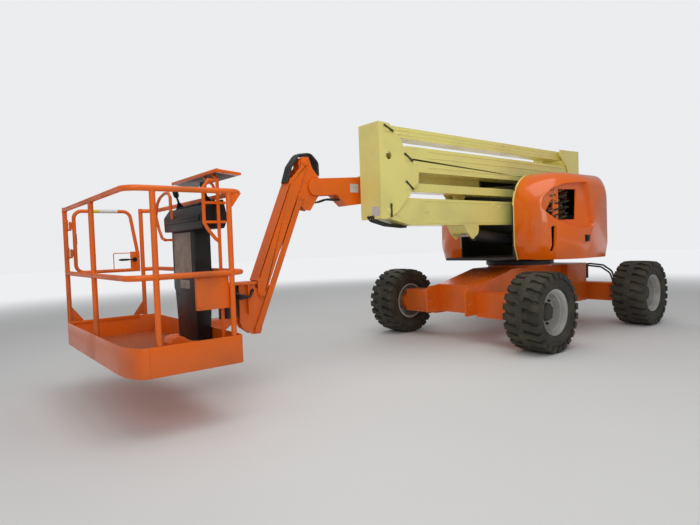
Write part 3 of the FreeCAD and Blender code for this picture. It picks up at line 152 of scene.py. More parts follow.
class Finish:
    """A material being made: its node tree, its surface shader and the place on the surface."""

    def __init__(self, name, **uniform):
        self.material = bpy.data.materials.new(name)
        self.material.use_nodes = True
        self.tree = self.material.node_tree
        self.shader = self.tree.nodes["Principled BSDF"]
        for socket, value in uniform.items():
            self.shader.inputs[socket.replace("_", " ")].default_value = value
        self.place = self.node("ShaderNodeTexCoord", output="Object")
        split = self.tree.nodes.new("ShaderNodeSeparateXYZ")
        self.tree.links.new(self.place.socket, split.inputs[0])
        self.x, self.y, self.z = (Value(self, socket) for socket in split.outputs)

    def node(self, kind, settings=None, values=None, output=0):
        """Any node: its settings first, then values or links of its sockets; gives one output."""
        node = self.tree.nodes.new(kind)
        for name, value in (settings or {}).items():
            if name == "stops":
                ramp = node.color_ramp.elements
                while len(ramp) < len(value):
                    ramp.new(0.5)
                for stop, (place, colour) in zip(ramp, value):
                    stop.position = place
                    stop.color = (*colour, 1)
            else:
                setattr(node, name, value)
        for socket, value in (values or {}).items():
            if isinstance(value, Value):
                self.tree.links.new(value.socket, node.inputs[socket])
            else:
                node.inputs[socket].default_value = value
        return Value(self, node.outputs[output])

    def noise(self, scale, detail=3, rough=0.5, place=None):
        return self.node(
            "ShaderNodeTexNoise",
            {},
            {"Vector": place or self.place, "Scale": scale, "Detail": detail, "Roughness": rough},
        )

    def stretched(self, scale):
        return self.node("ShaderNodeMapping", {}, {"Vector": self.place, "Scale": scale})

    def mix(self, share, first, second):
        """Two colours mixed by a share."""
        values = {"Factor": share}
        for socket, colour in ((6, first), (7, second)):
            values[socket] = colour if isinstance(colour, Value) else (*colour, 1)
        return self.node("ShaderNodeMix", {"data_type": "RGBA"}, values, output=2)

    def set(self, **values):
        """Link or set the surface shader's sockets."""
        for name, value in values.items():
            socket = self.shader.inputs[name.replace("_", " ")]
            if isinstance(value, Value):
                self.tree.links.new(value.socket, socket)
            elif isinstance(value, tuple):
                socket.default_value = (*value, 1)
            else:
                socket.default_value = value
        return self

    def bump(self, height, strength, depth):
        normal = self.node("ShaderNodeBump", {}, {"Strength": strength, "Distance": depth, "Height": height})
        self.set(Normal=normal)
        return self


FINISHES = {}


def painted(name, colour, rough, grime, worn, dust_and_low_colour=(0.10, 0.075, 0.05), coat=0.12):
    """Glossy machine paint with faint waviness, rubbed patches, scratches and dust."""
    finish = Finish(name, Coat_Weight=coat, Coat_Roughness=0.08, IOR=1.42)
    patches = finish.noise(2.3, 4).soft_step(0.42, 0.72)
    speckle = finish.noise(90, 2).soft_step(0.60, 0.78)
    scratch = finish.noise(14, 5, 0.7, finish.stretched((1, 9, 9))).soft_step(0.655, 0.70)
    dust = patches * grime + speckle * (grime * 0.6)
    # darker towards the bottom: below 0.9 m the paint blends towards the same colour as the dust
    low = (1 - finish.z.soft_step(0.2, 0.9)) * (grime * 1.1)
    shade = finish.mix(patches * 0.16, colour, tuple(c * 0.72 for c in colour))
    dust_and_low = finish.mix(dust + low, shade, dust_and_low_colour)
    scuffed = finish.mix(scratch * worn, dust_and_low, tuple(min(1, c * 1.3 + 0.05) for c in colour))
    finish.set(Base_Color=scuffed, Roughness=dust * 0.9 + scratch * 0.15 + rough)
    return finish.bump(finish.noise(7, 2) * 0.6 + finish.noise(240, 1) * 0.08, 0.25, 0.004)


def make_finishes(paints):
    """Every finish of the machine, by the record's slot names and a few more."""
    colour = {name: tuple(getattr(paints, name)) for name in ("orange", "cream", "rubber", "dust", "silver", "black")}
    FINISHES["orange_paint"] = painted("orange_paint", colour["orange"], 0.26, 0.16, 0.35)
    FINISHES["cream_paint"] = painted("cream_paint", colour["cream"], 0.24, 0.16, 0.45, (0.33, 0.26, 0.13), 0.55)
    FINISHES["hood_paint"] = painted("hood_paint", colour["orange"], 0.22, 0.10, 0.3, coat=0.6)
    FINISHES["dark_steel"] = painted("dark_steel", colour["black"], 0.42, 0.18, 0.25)
    FINISHES["rim_silver"] = painted("rim_silver", colour["silver"], 0.38, 0.30, 0.2)

    FINISHES["rail_paint"] = painted("rail_paint", colour["orange"], 0.38, 0.34, 0.8, (0.16, 0.085, 0.05))
    FINISHES["band_yellow"] = painted("band_yellow", (0.72, 0.66, 0.02), 0.35, 0.12, 0.3)
    FINISHES["band_white"] = painted("band_white", (0.72, 0.72, 0.70), 0.40, 0.15, 0.3)
    FINISHES["lid_grey"] = painted("lid_grey", (0.10, 0.10, 0.105), 0.45, 0.2, 0.3)

    mesh = Finish("mesh_floor", Metallic=0.1)
    across = ((mesh.x + mesh.y) * 150.0).wave() * ((mesh.x - mesh.y) * 150.0).wave()
    strand = across.soft_step(-0.25, 0.25)
    wear = mesh.noise(60, 4, 0.7).soft_step(0.48, 0.62)
    coat = mesh.mix(wear * 0.75, colour["orange"], (0.42, 0.24, 0.16))
    mesh.set(Base_Color=mesh.mix(strand * 0.75 + 0.25, (0.05, 0.03, 0.02), coat), Roughness=wear * 0.25 + 0.45)
    FINISHES["mesh_floor"] = mesh.bump(strand + wear * 0.4, 0.9, 0.004)

    for name, clean, soiled in (
        ("paper", (0.30, 0.235, 0.185), (0.135, 0.085, 0.06)),
        ("paper_pale", (0.62, 0.60, 0.56), (0.36, 0.31, 0.27)),
    ):
        sheet = Finish(name, Coat_Weight=0.2, Coat_Roughness=0.3)
        stained = sheet.noise(11, 5, 0.65).soft_step(0.42, 0.68)
        sheet.set(Base_Color=sheet.mix(stained * 0.55, clean, soiled), Roughness=stained * 0.2 + 0.5)
        FINISHES[name] = sheet.bump(sheet.noise(90, 3), 0.15, 0.0008)

    # dark olive of the pin keepers: painted shadow, the tone of the cream upright in shade
    FINISHES["keeper_green"] = painted("keeper_green", (0.060, 0.062, 0.018), 0.4, 0.25, 0.5)
    FINISHES["fitting_red"] = painted("fitting_red", (0.30, 0.035, 0.02), 0.4, 0.2, 0.4)

    brass = Finish("fitting_brass", Metallic=0.8)
    dull = brass.noise(35, 4, 0.6).soft_step(0.4, 0.7)
    brass.set(Base_Color=brass.mix(dull, (0.42, 0.38, 0.20), (0.12, 0.14, 0.08)), Roughness=dull * 0.3 + 0.3)
    FINISHES["fitting_brass"] = brass

    hose = Finish("hose", IOR=1.5)
    rub = hose.noise(25, 4, 0.6).soft_step(0.5, 0.75)
    hose.set(Base_Color=hose.mix(rub, (0.010, 0.010, 0.010), (0.040, 0.037, 0.032)), Roughness=rub * 0.25 + 0.38)
    FINISHES["hose"] = hose.bump(hose.noise(500, 2), 0.2, 0.0004)

    # deck: its own cream above 1.13 m, and below that painted shade for the space under the hoods
    deck = Finish("deck_paint_and_shade", Coat_Weight=0.1)
    up = deck.z.soft_step(1.13, 1.15)
    film = deck.noise(5, 4, 0.6).soft_step(0.4, 0.7)
    under_hood_shade = deck.mix(film, (0.020, 0.019, 0.018), (0.055, 0.047, 0.036))
    deck.set(Base_Color=deck.mix(up, under_hood_shade, colour["cream"]), Roughness=film * 0.3 + 0.4)
    FINISHES["deck_paint_and_shade"] = deck.bump(deck.noise(7, 2) * 0.6, 0.2, 0.003)

    iron = Finish("engine_iron", Metallic=0.2)
    stain = iron.noise(9, 5).soft_step(0.4, 0.7)
    iron.set(Base_Color=iron.mix(stain, (0.05, 0.05, 0.05), (0.12, 0.09, 0.06)), Roughness=stain * 0.2 + 0.55)
    FINISHES["engine_iron"] = iron.bump(iron.noise(160, 2), 0.4, 0.002)

    plastic = Finish("black_plastic", IOR=1.38)
    scuff = plastic.noise(5, 5, 0.6).soft_step(0.5, 0.75)
    plastic.set(
        Base_Color=plastic.mix(scuff, (0.008, 0.008, 0.0075), (0.026, 0.024, 0.021)),
        Roughness=scuff * 0.25 + 0.36,
    )
    FINISHES["black_plastic"] = plastic.bump(plastic.noise(420, 2), 0.25, 0.0006)

    rubber = Finish("tyre", IOR=1.5)
    film = rubber.noise(6, 5, 0.65).soft_step(0.35, 0.72)
    grit = rubber.noise(130, 3).soft_step(0.5, 0.75)
    rubber.set(
        Base_Color=rubber.mix(film * 0.75 + grit * 0.15, colour["rubber"], colour["dust"]),
        Roughness=film * 0.2 + 0.62,
    )
    FINISHES["tyre"] = rubber.bump(rubber.noise(300, 3) * 0.5 + grit, 0.35, 0.0015)

    chrome = Finish("chrome_rod", Metallic=1.0)
    haze = chrome.noise(11, 4).soft_step(0.45, 0.8)
    chrome.set(Base_Color=chrome.mix(haze, (0.78, 0.78, 0.80), (0.55, 0.53, 0.50)), Roughness=haze * 0.2 + 0.12)
    FINISHES["chrome_rod"] = chrome


# Mesh helpers


def finish_piece(name, form, finish, body, replaces=(), sharp=32):
    """Turn a bmesh into a piece that rides on a body, or on none where body is empty."""
    bmesh.ops.recalc_face_normals(form, faces=form.faces)
    for face in form.faces:
        face.smooth = True
    for edge in form.edges:
        edge.smooth = edge.is_manifold and edge.calc_face_angle(0) < math.radians(sharp)
    mesh = bpy.data.meshes.new(name)
    form.to_mesh(mesh)
    form.free()
    names = [finish] if isinstance(finish, str) else list(finish)
    for item in names:
        mesh.materials.append(FINISHES[item].material)
    piece = bpy.data.objects.new(name, mesh)
    bpy.context.scene.collection.objects.link(piece)
    if body:
        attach(piece, body)
    if replaces:
        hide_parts(*replaces)
    return piece


def lathe(form, profile, centre, steps, side=1):
    """Spin a profile of (along the axle, radius) about a Y axis through centre."""
    verts = [form.verts.new(centre + Vector((0, side * along, radius))) for along, radius in profile]
    edges = [form.edges.new(pair) for pair in zip(verts, verts[1:])]
    bmesh.ops.spin(
        form,
        geom=verts + edges,
        cent=centre,
        axis=(0, 1, 0),
        dvec=(0, 0, 0),
        angle=math.tau,
        steps=steps,
        use_merge=True,
    )
    bmesh.ops.remove_doubles(form, verts=form.verts, dist=1e-5)


def prism(form, outline, low, high):
    """A polygon face pulled up from low to high along Z; gives its faces and vertices."""
    face = form.faces.new([form.verts.new((x, y, low)) for x, y in outline])
    grown = bmesh.ops.extrude_face_region(form, geom=[face])
    top = [item for item in grown["geom"] if isinstance(item, bmesh.types.BMVert)]
    bmesh.ops.translate(form, verts=top, vec=(0, 0, high - low))
    return list(face.verts), top


def spot(x, y, z):
    """A place given from the slew axis, on the floor."""
    return Vector((SLEW.x + x, y, z))


def pipe(form, route, radius, bend=0.0, sides=14):
    """A closed round tube: its end ring is pulled along each straight and spun round each bend of the route."""
    route = [Vector(place) for place in route]
    run = (route[1] - route[0]).normalized()
    turn = run.to_track_quat("Z", "Y").to_matrix().to_4x4()
    start = bmesh.ops.create_circle(
        form, segments=sides, radius=radius, matrix=Matrix.Translation(route[0]) @ turn
    )["verts"]
    ring = list(start)
    edges = [edge for edge in form.edges if all(vert in start for vert in edge.verts)]
    first = list(edges)
    here = route[0]
    for corner, beyond in zip(route[1:], route[2:] + [None]):
        run = (corner - here).normalized()
        stop = corner
        if beyond is not None:
            out = (beyond - corner).normalized()
            angle = run.angle(out)
            back = bend * math.tan(angle / 2)
            stop = corner - run * back
        grown = bmesh.ops.extrude_edge_only(form, edges=edges)["geom"]
        ring = [item for item in grown if isinstance(item, bmesh.types.BMVert)]
        edges = [item for item in grown if isinstance(item, bmesh.types.BMEdge)]
        bmesh.ops.translate(form, verts=ring, vec=stop - here)
        here = stop
        if beyond is not None and angle > 0.01:
            axis = run.cross(out).normalized()
            grown = bmesh.ops.spin(
                form,
                geom=ring + edges,
                cent=stop + axis.cross(run) * bend,
                axis=axis,
                dvec=(0, 0, 0),
                angle=angle,
                steps=max(3, round(angle / 0.16)),
            )["geom_last"]
            ring = [item for item in grown if isinstance(item, bmesh.types.BMVert)]
            edges = [item for item in grown if isinstance(item, bmesh.types.BMEdge)]
            here = corner + out * back
    bmesh.ops.edgeloop_fill(form, edges=first)
    bmesh.ops.edgeloop_fill(form, edges=edges)


def plate(form, across, outline, low, high, bevel=0.0, segments=2):
    """A flat plate: its outline drawn square to X, Y or Z and pulled from low to high, its edges rounded."""
    turn = {
        "x": lambda a, b, c: (c, a, b),
        "y": lambda a, b, c: (a, c, b),
        "z": lambda a, b, c: (a, b, c),
    }[across]
    face = form.faces.new([form.verts.new(turn(a, b, low)) for a, b in outline])
    grown = bmesh.ops.extrude_face_region(form, geom=[face])["geom"]
    top = [item for item in grown if isinstance(item, bmesh.types.BMVert)]
    bmesh.ops.translate(form, verts=top, vec=turn(0, 0, high - low))
    if bevel:
        edges = {edge for vert in list(face.verts) + top for edge in vert.link_edges}
        bmesh.ops.bevel(
            form,
            geom=list(edges),
            offset=bevel,
            segments=segments,
            profile=0.5,
            affect="EDGES",
            material=-1,
            clamp_overlap=True,
        )


def box(form, low, high, bevel=0.002, segments=2):
    """A block between two corners, its edges rounded."""
    outline = ((low[0], low[1]), (high[0], low[1]), (high[0], high[1]), (low[0], high[1]))
    plate(form, "z", outline, low[2], high[2], bevel, segments)


def disc(form, place, along, radius, deep, sides=20, tip=None):
    """A round boss or bolt shank, or with six sides a hexagon head, standing on place."""
    along = Vector(along).normalized()
    turn = along.to_track_quat("Z", "Y").to_matrix().to_4x4()
    bmesh.ops.create_cone(
        form,
        cap_ends=True,
        segments=sides,
        radius1=radius,
        radius2=radius if tip is None else tip,
        depth=deep,
        matrix=Matrix.Translation(Vector(place) + along * deep / 2) @ turn,
    )


def bolt(form, place, along, size=0.010):
    """A hexagon head on its washer."""
    along = Vector(along).normalized()
    disc(form, place, along, size * 1.15, size * 0.25, 16)
    disc(form, Vector(place) + along * size * 0.25, along, size * 0.86, size * 0.7, 6, size * 0.8)


def carve(form, *cutters):
    """Cut closed forms out of a closed form."""
    items = []
    for part in (form, *cutters):
        bmesh.ops.recalc_face_normals(part, faces=part.faces)
        mesh = bpy.data.meshes.new("carve")
        part.to_mesh(mesh)
        item = bpy.data.objects.new("carve", mesh)
        bpy.context.scene.collection.objects.link(item)
        items.append(item)
    for cutter in items[1:]:
        cut = items[0].modifiers.new("cut", "BOOLEAN")
        cut.operation = "DIFFERENCE"
        cut.solver = "EXACT"
        cut.object = cutter
    bpy.context.view_layer.update()
    shape = items[0].evaluated_get(bpy.context.evaluated_depsgraph_get())
    result = bpy.data.meshes.new_from_object(shape)
    form.clear()
    form.from_mesh(result)
    bmesh.ops.remove_doubles(form, verts=form.verts, dist=1e-5)
    for item in items:
        mesh = item.data
        bpy.data.objects.remove(item)
        bpy.data.meshes.remove(mesh)
    bpy.data.meshes.remove(result)
    for part in cutters:
        part.free()


def join(form, other):
    """Add a form to another and free it."""
    mesh = bpy.data.meshes.new("join")
    other.to_mesh(mesh)
    other.free()
    form.from_mesh(mesh)
    bpy.data.meshes.remove(mesh)


# Pieces


class BOOMLIFT_OT_stage(bpy.types.Operator):
    """Camera, lamps, world and a plain pale floor"""

    bl_idname = "boomlift.stage"
    bl_label = "Stage"

    def execute(self, context):
        scene = context.scene
        scene.view_settings.view_transform = "Standard"
        data = bpy.data.cameras.new("view")
        data.sensor_width = 36
        data.lens = 36 * 520.04 / 700
        camera = bpy.data.objects.new("view", data)
        scene.collection.objects.link(camera)
        scene.camera = camera
        yaw, pitch, roll = -2.2445, -0.0330, -0.0356
        ahead = Vector((math.cos(yaw) * math.cos(pitch), math.sin(yaw) * math.cos(pitch), math.sin(pitch)))
        right = ahead.cross(Vector((0, 0, 1))).normalized()
        up = right.cross(ahead)
        tilted = math.cos(roll) * right + math.sin(roll) * up
        top = math.cos(roll) * up - math.sin(roll) * right
        turn = Matrix((tilted, top, -ahead)).transposed().to_4x4()
        camera.matrix_world = Matrix.Translation(Vector((6.104 + SLEW.x, 4.017, 1.177))) @ turn

        world = bpy.data.worlds.new("studio")
        scene.world = world
        world.use_nodes = True
        tree = world.node_tree
        tree.nodes.clear()
        rays = tree.nodes.new("ShaderNodeLightPath")
        level = tree.nodes.new("ShaderNodeMapRange")
        tree.links.new(rays.outputs["Is Camera Ray"], level.inputs["Value"])
        level.inputs["To Min"].default_value = 0.36
        level.inputs["To Max"].default_value = 0.86
        ground = tree.nodes.new("ShaderNodeBackground")
        ground.inputs["Color"].default_value = (0.97, 0.98, 1.0, 1)
        tree.links.new(level.outputs[0], ground.inputs["Strength"])
        out = tree.nodes.new("ShaderNodeOutputWorld")
        tree.links.new(ground.outputs[0], out.inputs[0])

        for name, place, size, power in (
            ("overhead", (1.5, 1.5, 6.5), 6.0, 190),
            ("camera_side", (6.5, 6.5, 4.5), 4.0, 165),
            ("far_side", (-4.5, -6.0, 5.0), 4.0, 60),
        ):
            lamp = bpy.data.lights.new(name, "AREA")
            lamp.size = size
            lamp.energy = power
            item = bpy.data.objects.new(name, lamp)
            scene.collection.objects.link(item)
            item.location = place
            item.rotation_euler = (Vector((0, 0, 1.0)) - Vector(place)).to_track_quat("-Z", "Y").to_euler()

        form = bmesh.new()
        bmesh.ops.create_grid(form, x_segments=2, y_segments=2, size=40)
        mesh = bpy.data.meshes.new("floor")
        form.to_mesh(mesh)
        form.free()
        floor = bpy.data.objects.new("floor", mesh)
        pale = Finish("pale_floor", Roughness=0.7, Emission_Strength=0.84)
        cloud = pale.mix(pale.noise(0.8, 3), (0.72, 0.72, 0.71), (0.76, 0.76, 0.75))
        # the floor fades into the white background well away from the machine
        far = (pale.x * pale.x + pale.y * pale.y).soft_step(36.0, 190.0)
        pale.set(
            Base_Color=pale.mix(far, cloud, (0.0, 0.0, 0.0)),
            Emission_Color=pale.mix(far, (0.0, 0.0, 0.0), (0.97, 0.98, 1.0)),
        )
        mesh.materials.append(pale.material)
        scene.collection.objects.link(floor)
        return {"FINISHED"}


# CAD nodes that are dark where the hoods hide them: painted shade of the space under the hoods
SHADED_UNDER_HOODS = {"hood_bulkheads": "dark_steel", "turntable_deck": "deck_paint_and_shade"}


class BOOMLIFT_OT_finishes(bpy.types.Operator):
    """Paint, rubber, plastic and steel on every CAD node"""

    bl_idname = "boomlift.finishes"
    bl_label = "Finishes"

    def execute(self, context):
        make_finishes(context.scene.boomlift_paints)
        slot_of = {item["node"]: item["material_slot"] for item in frame["record"]["subparts"]}
        for name, node in frame["nodes"].items():
            node.data.materials.clear()
            finish = SHADED_UNDER_HOODS.get(name, slot_of[name])
            node.data.materials.append(FINISHES[finish].material)
        return {"FINISHED"}


class BOOMLIFT_OT_edges(bpy.types.Operator):
    """Small rounded edges on the plates and boxes of the CAD nodes"""

    bl_idname = "boomlift.edges"
    bl_label = "Plate edges"

    def execute(self, context):
        for name, node in frame["nodes"].items():
            if node.hide_render:
                continue
            weld = node.modifiers.new("weld", "WELD")
            weld.merge_threshold = 0.00002
            edge = node.modifiers.new("edge", "BEVEL")
            edge.width = 0.003
            edge.segments = 2
            edge.limit_method = "ANGLE"
            edge.angle_limit = math.radians(40)
            edge.use_clamp_overlap = True
            edge.harden_normals = False
        return {"FINISHED"}


class BOOMLIFT_OT_tyres(bpy.types.Operator):
    """Four tyres with two interleaved rows of curved lugs"""

    bl_idname = "boomlift.tyres"
    bl_label = "Tyres"

    def execute(self, context):
        sizes = context.scene.boomlift_wheels
        for wheel in WHEELS:
            low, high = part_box(f"tyre_{wheel}")
            centre = (low + high) / 2
            radius = (high.x - low.x) / 2
            half = (high.y - low.y) / 2
            root = radius - sizes.lug_deep
            bead = 0.2285
            form = bmesh.new()
            side = [
                (half - 0.047, bead),
                (half - 0.036, bead + 0.006),
                (half - 0.030, bead + 0.024),
                (half - 0.018, bead + 0.032),
                (half - 0.012, bead + 0.050),
                (half - 0.009, bead + 0.056),
                (half - 0.009, bead + 0.062),
                (half - 0.013, bead + 0.068),
                (half - 0.009, bead + 0.095),
                (half - 0.012, root - 0.034),
                (half - 0.022, root - 0.012),
                (half - 0.040, root),
            ]
            profile = side + [(0.06, root + 0.002), (-0.06, root + 0.002)] + [(-a, r) for a, r in reversed(side)]
            lathe(form, profile, centre, 72)
            # plan of one lug, from its blunt inner end to the shoulder, where it bends back
            plan = (
                (-0.028, -0.044),
                (0.018, -0.044),
                (0.034, -0.026),
                (0.040, 0.092),
                (0.064, 0.146),
                (0.068, half + 0.001),
                (-0.006, half + 0.001),
                (-0.012, 0.158),
                (-0.036, 0.106),
                (-0.041, -0.030),
            )
            stretch = sizes.lug_wide / 0.064
            for row in (1, -1):
                for turn in range(sizes.lug_count):
                    piece = bmesh.new()
                    foot, top = prism(piece, [(x * stretch, y) for x, y in plan], -0.014, sizes.lug_deep)
                    middle = sum((v.co for v in top), Vector()) / len(top)
                    for vert in top:
                        vert.co.x = middle.x + (vert.co.x - middle.x) * 0.90
                        if vert.co.y > 0.14:
                            vert.co.y -= 0.010
                            vert.co.z -= 0.008
                        elif vert.co.y < 0:
                            vert.co.y += 0.005
                    low_edge = [v for v in foot if v.co.y > 0.17]
                    for vert in low_edge:
                        vert.co.z -= 0.030
                    bmesh.ops.bevel(
                        piece,
                        geom=[e for e in piece.edges if all(v in top for v in e.verts)],
                        offset=0.004,
                        segments=2,
                        profile=0.5,
                        affect="EDGES",
                        material=-1,
                    )
                    spin = math.tau * (turn + (0.5 if row < 0 else 0)) / sizes.lug_count
                    for vert in piece.verts:
                        angle = spin + row * vert.co.x / radius
                        reach = root + vert.co.z
                        along = row * vert.co.y
                        vert.co = centre + Vector((reach * math.sin(angle), along, reach * math.cos(angle)))
                    mesh = bpy.data.meshes.new("lug")
                    piece.to_mesh(mesh)
                    piece.free()
                    form.from_mesh(mesh)
                    bpy.data.meshes.remove(mesh)
            finish_piece(f"tread_{wheel}", form, "tyre", f"wheel_{wheel}", [f"tyre_{wheel}"])
        return {"FINISHED"}


class BOOMLIFT_OT_rims(bpy.types.Operator):
    """Four pressed rims with their nuts and dark hubs"""

    bl_idname = "boomlift.rims"
    bl_label = "Rims"

    def execute(self, context):
        sizes = context.scene.boomlift_wheels
        for wheel in WHEELS:
            low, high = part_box(f"rim_{wheel}")
            tyre_low, tyre_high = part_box(f"tyre_{wheel}")
            centre = (tyre_low + tyre_high) / 2
            side = 1 if "left" in wheel else -1
            edge = 0.162
            form = bmesh.new()
            profile = (
                (-0.115 + 0.0004, 0.110),
                (0.004, 0.112),
                (0.004, 0.190),
                (-0.020, 0.200),
                (-0.150, 0.206),
                (-0.150, 0.227),
                (0.120, 0.227),
                (edge - 0.014, 0.228),
                (edge - 0.006, 0.236),
                (edge, 0.240),
                (edge, 0.231),
                (edge - 0.008, 0.221),
                (edge - 0.020, 0.214),
                (edge - 0.030, 0.206),
                (edge - 0.052, 0.203),
                (edge - 0.062, 0.192),
                (edge - 0.108, 0.189),
                (0.030, 0.182),
                (0.024, 0.172),
                (0.027, 0.120),
                (0.033, 0.098),
            )
            lathe(form, profile, centre, 72, side)
            finish_piece(f"rim_{wheel}_disc", form, "rim_silver", f"wheel_{wheel}", [f"rim_{wheel}"])
            form = bmesh.new()
            hub = ((0.033, 0.098), (0.078, 0.090), (0.086, 0.082), (0.092, 0.066), (0.092, 0.0))
            lathe(form, hub, centre, 48, side)
            for turn in range(sizes.nut_count):
                angle = math.tau * turn / sizes.nut_count
                at = centre + Vector((math.sin(angle), 0, math.cos(angle))) * sizes.nut_ring
                for radius, reach, corners in ((0.0135, 0.018, 6), (0.0075, 0.030, 12)):
                    spot = at + Vector((0, side * (0.028 + reach / 2), 0))
                    bmesh.ops.create_cone(
                        form,
                        cap_ends=True,
                        segments=corners,
                        radius1=radius,
                        radius2=radius * 0.94,
                        depth=reach,
                        matrix=Matrix.Translation(spot) @ Matrix.Rotation(-side * math.pi / 2, 4, "X"),
                    )
            finish_piece(f"rim_{wheel}_hub", form, "dark_steel", f"wheel_{wheel}")
        return {"FINISHED"}


class BOOMLIFT_OT_hoods(bpy.types.Operator):
    """Two moulded hoods with a recess, two openings, a hand slot, a latch and a seal"""

    bl_idname = "boomlift.hoods"
    bl_label = "Hoods"

    def section(self, y, low, inset=0.0):
        """X and Z of a hood's outline at a distance from the machine's middle."""
        outer, front, corner, tail = 1.000 - inset, 0.700 - inset, 0.500 - inset, 1.060 - inset
        share = max(0.0, min(1.0, (y - 0.400) / (outer - 0.400)))
        top = 1.970 - inset - 0.190 * (1 - math.sqrt(max(0.0, 1 - share**3.6)))
        reach = max(0.0, y - (outer - corner))
        ahead = front - corner + math.sqrt(max(0.0, corner**2 - reach**2))
        behind = -math.sqrt(tail**2 - y**2)
        turn = min(0.400 - inset, (ahead - behind) / 2 - 0.040)
        back = turn * 0.6
        line = [(ahead - 0.060, low), (ahead, 1.100)]
        for step in range(13):
            angle = math.pi / 24 * step
            line.append((ahead - turn * (1 - math.cos(angle)), top - turn * (1 - math.sin(angle))))
        for step in range(10):
            angle = math.pi / 18 * step
            line.append((behind + back * (1 - math.sin(angle)), top - back * (1 - math.cos(angle))))
        return line + [(behind, 1.100), (behind + 0.060, low)]

    def shell(self, inset, low, inner, steps=16):
        """A hood's closed form on the left side: its section is pulled outwards step by step."""
        form = bmesh.new()
        face = form.faces.new([form.verts.new((x, inner, z)) for x, z in self.section(inner, low, inset)])
        for step in range(1, steps + 1):
            y = 0.400 + (0.600 - inset) * math.sin(math.pi / 2 * step / steps)
            order = {tuple(round(c, 6) for c in vert.co): turn for turn, vert in enumerate(face.verts)}
            grown = bmesh.ops.extrude_face_region(form, geom=[face])["geom"]
            line = self.section(y, low, inset)
            for item in grown:
                if isinstance(item, bmesh.types.BMVert):
                    x, z = line[order[tuple(round(c, 6) for c in item.co)]]
                    item.co = (x, y, z)
            if step > 1:
                bmesh.ops.delete(form, geom=[face], context="FACES_ONLY")
            face = next(item for item in grown if isinstance(item, bmesh.types.BMFace))
        return form

    def well(self, outline, deeper, wider):
        """The side recess as a closed form whose floor slants inwards to the front."""
        middle = Vector((0.30, 1.55))
        form = bmesh.new()
        grown = []
        for place in outline:
            away = Vector(place) - middle
            grown.append(middle + away * (1 + wider / away.length))
        plate(form, "y", grown, 0.5, 1.2)
        for vert in form.verts:
            if vert.co.y < 0.9:
                vert.co.y = 0.958 - 0.352 * (vert.co.x + 0.005) - deeper
        return form

    def seal(self, inner):
        """A strip that follows a hood's inner edge from the foot of its front over to its back."""
        form = bmesh.new()
        line = self.section(0.400, 0.930, -0.006)
        edge = [form.verts.new((x, inner, z)) for x, z in line]
        edges = [form.edges.new(pair) for pair in zip(edge, edge[1:])]
        grown = bmesh.ops.extrude_edge_only(form, edges=edges)["geom"]
        bmesh.ops.translate(form, verts=[v for v in grown if isinstance(v, bmesh.types.BMVert)], vec=(0, 0.020, 0))
        bmesh.ops.recalc_face_normals(form, faces=form.faces)
        bmesh.ops.solidify(form, geom=form.faces[:], thickness=0.009)
        return form

    def execute(self, context):
        # X and Z of the recess, its two openings and the hand slot
        recess = (
            (0.655, 1.545),
            (0.640, 1.625),
            (0.607, 1.685),
            (0.527, 1.758),
            (0.405, 1.803),
            (0.110, 1.822),
            (0.085, 1.805),
            (0.030, 1.560),
            (-0.020, 1.335),
            (-0.005, 1.305),
            (0.240, 1.272),
            (0.450, 1.318),
            (0.555, 1.392),
            (0.612, 1.470),
        )
        vent = ((0.600, 1.478), (0.535, 1.590), (0.500, 1.628), (0.490, 1.622), (0.500, 1.410), (0.515, 1.402))
        window = ((0.418, 1.742), (0.178, 1.742), (0.195, 1.388), (0.425, 1.388))
        slot = ((0.590, 1.302), (0.578, 1.320), (0.560, 1.320), (0.548, 1.300), (0.556, 1.030), (0.586, 1.030))
        for side, name in ((1, "left"), (-1, "right")):
            body = f"hood_{name}"
            form = self.shell(0.0, 0.930, 0.400)
            room = self.shell(0.025, 0.800, 0.300)
            carve(room, self.well(recess, 0.014, 0.014))
            cuts = [room, self.well(recess, 0.0, 0.0)]
            for outline in (vent, window, slot):
                hole = bmesh.new()
                plate(hole, "y", outline, 0.45, 1.2)
                cuts.append(hole)
            for x in (0.140, -0.450):
                hole = bmesh.new()
                box(hole, (x, 0.300, 1.905), (x + 0.094, 0.414, 2.100), 0)
                cuts.append(hole)
            carve(form, *cuts)
            rim = [edge for edge in form.edges if edge.is_manifold and edge.calc_face_angle(0) > 0.6]
            bmesh.ops.bevel(
                form,
                geom=rim,
                offset=0.005,
                segments=2,
                profile=0.5,
                affect="EDGES",
                material=-1,
                clamp_overlap=True,
            )
            for x in (0.172, -0.418):
                box(form, (x, 0.400, 1.9612), (x + 0.056, 0.434, 1.9688), 0.001)
                pipe(form, [(x, 0.400, 1.970), (x + 0.056, 0.400, 1.970)], 0.010, sides=12)
            self.stand(form, side)
            finish_piece(f"{body}_skin", form, "hood_paint", body, [body], 26)

            form = bmesh.new()
            plate(form, "y", ((0.075, 1.130), (0.185, 1.122), (0.190, 1.204), (0.072, 1.202)), 0.996, 1.005, 0.002)
            box(form, (0.108, 1.003, 1.135), (0.160, 1.014, 1.190), 0.003)
            disc(form, (0.134, 1.013, 1.162), (0, 1, 0), 0.012, 0.006, 16)
            self.stand(form, side)
            finish_piece(f"{body}_latch", form, "black_plastic", body)

            form = self.seal(0.386)
            self.stand(form, side)
            finish_piece(f"{body}_seal", form, "cream_paint", body)
        return {"FINISHED"}

    def stand(self, form, side):
        """Move a left-hand form to its place on either side."""
        bmesh.ops.scale(form, verts=form.verts, vec=(1, side, 1))
        bmesh.ops.translate(form, verts=form.verts, vec=(SLEW.x, 0, 0))


# Place of the gate's hinge line
GATE_HINGE = Vector(next(joint["pos_m"] for joint in frame["joints"] if joint["name"] == "gate_open"))


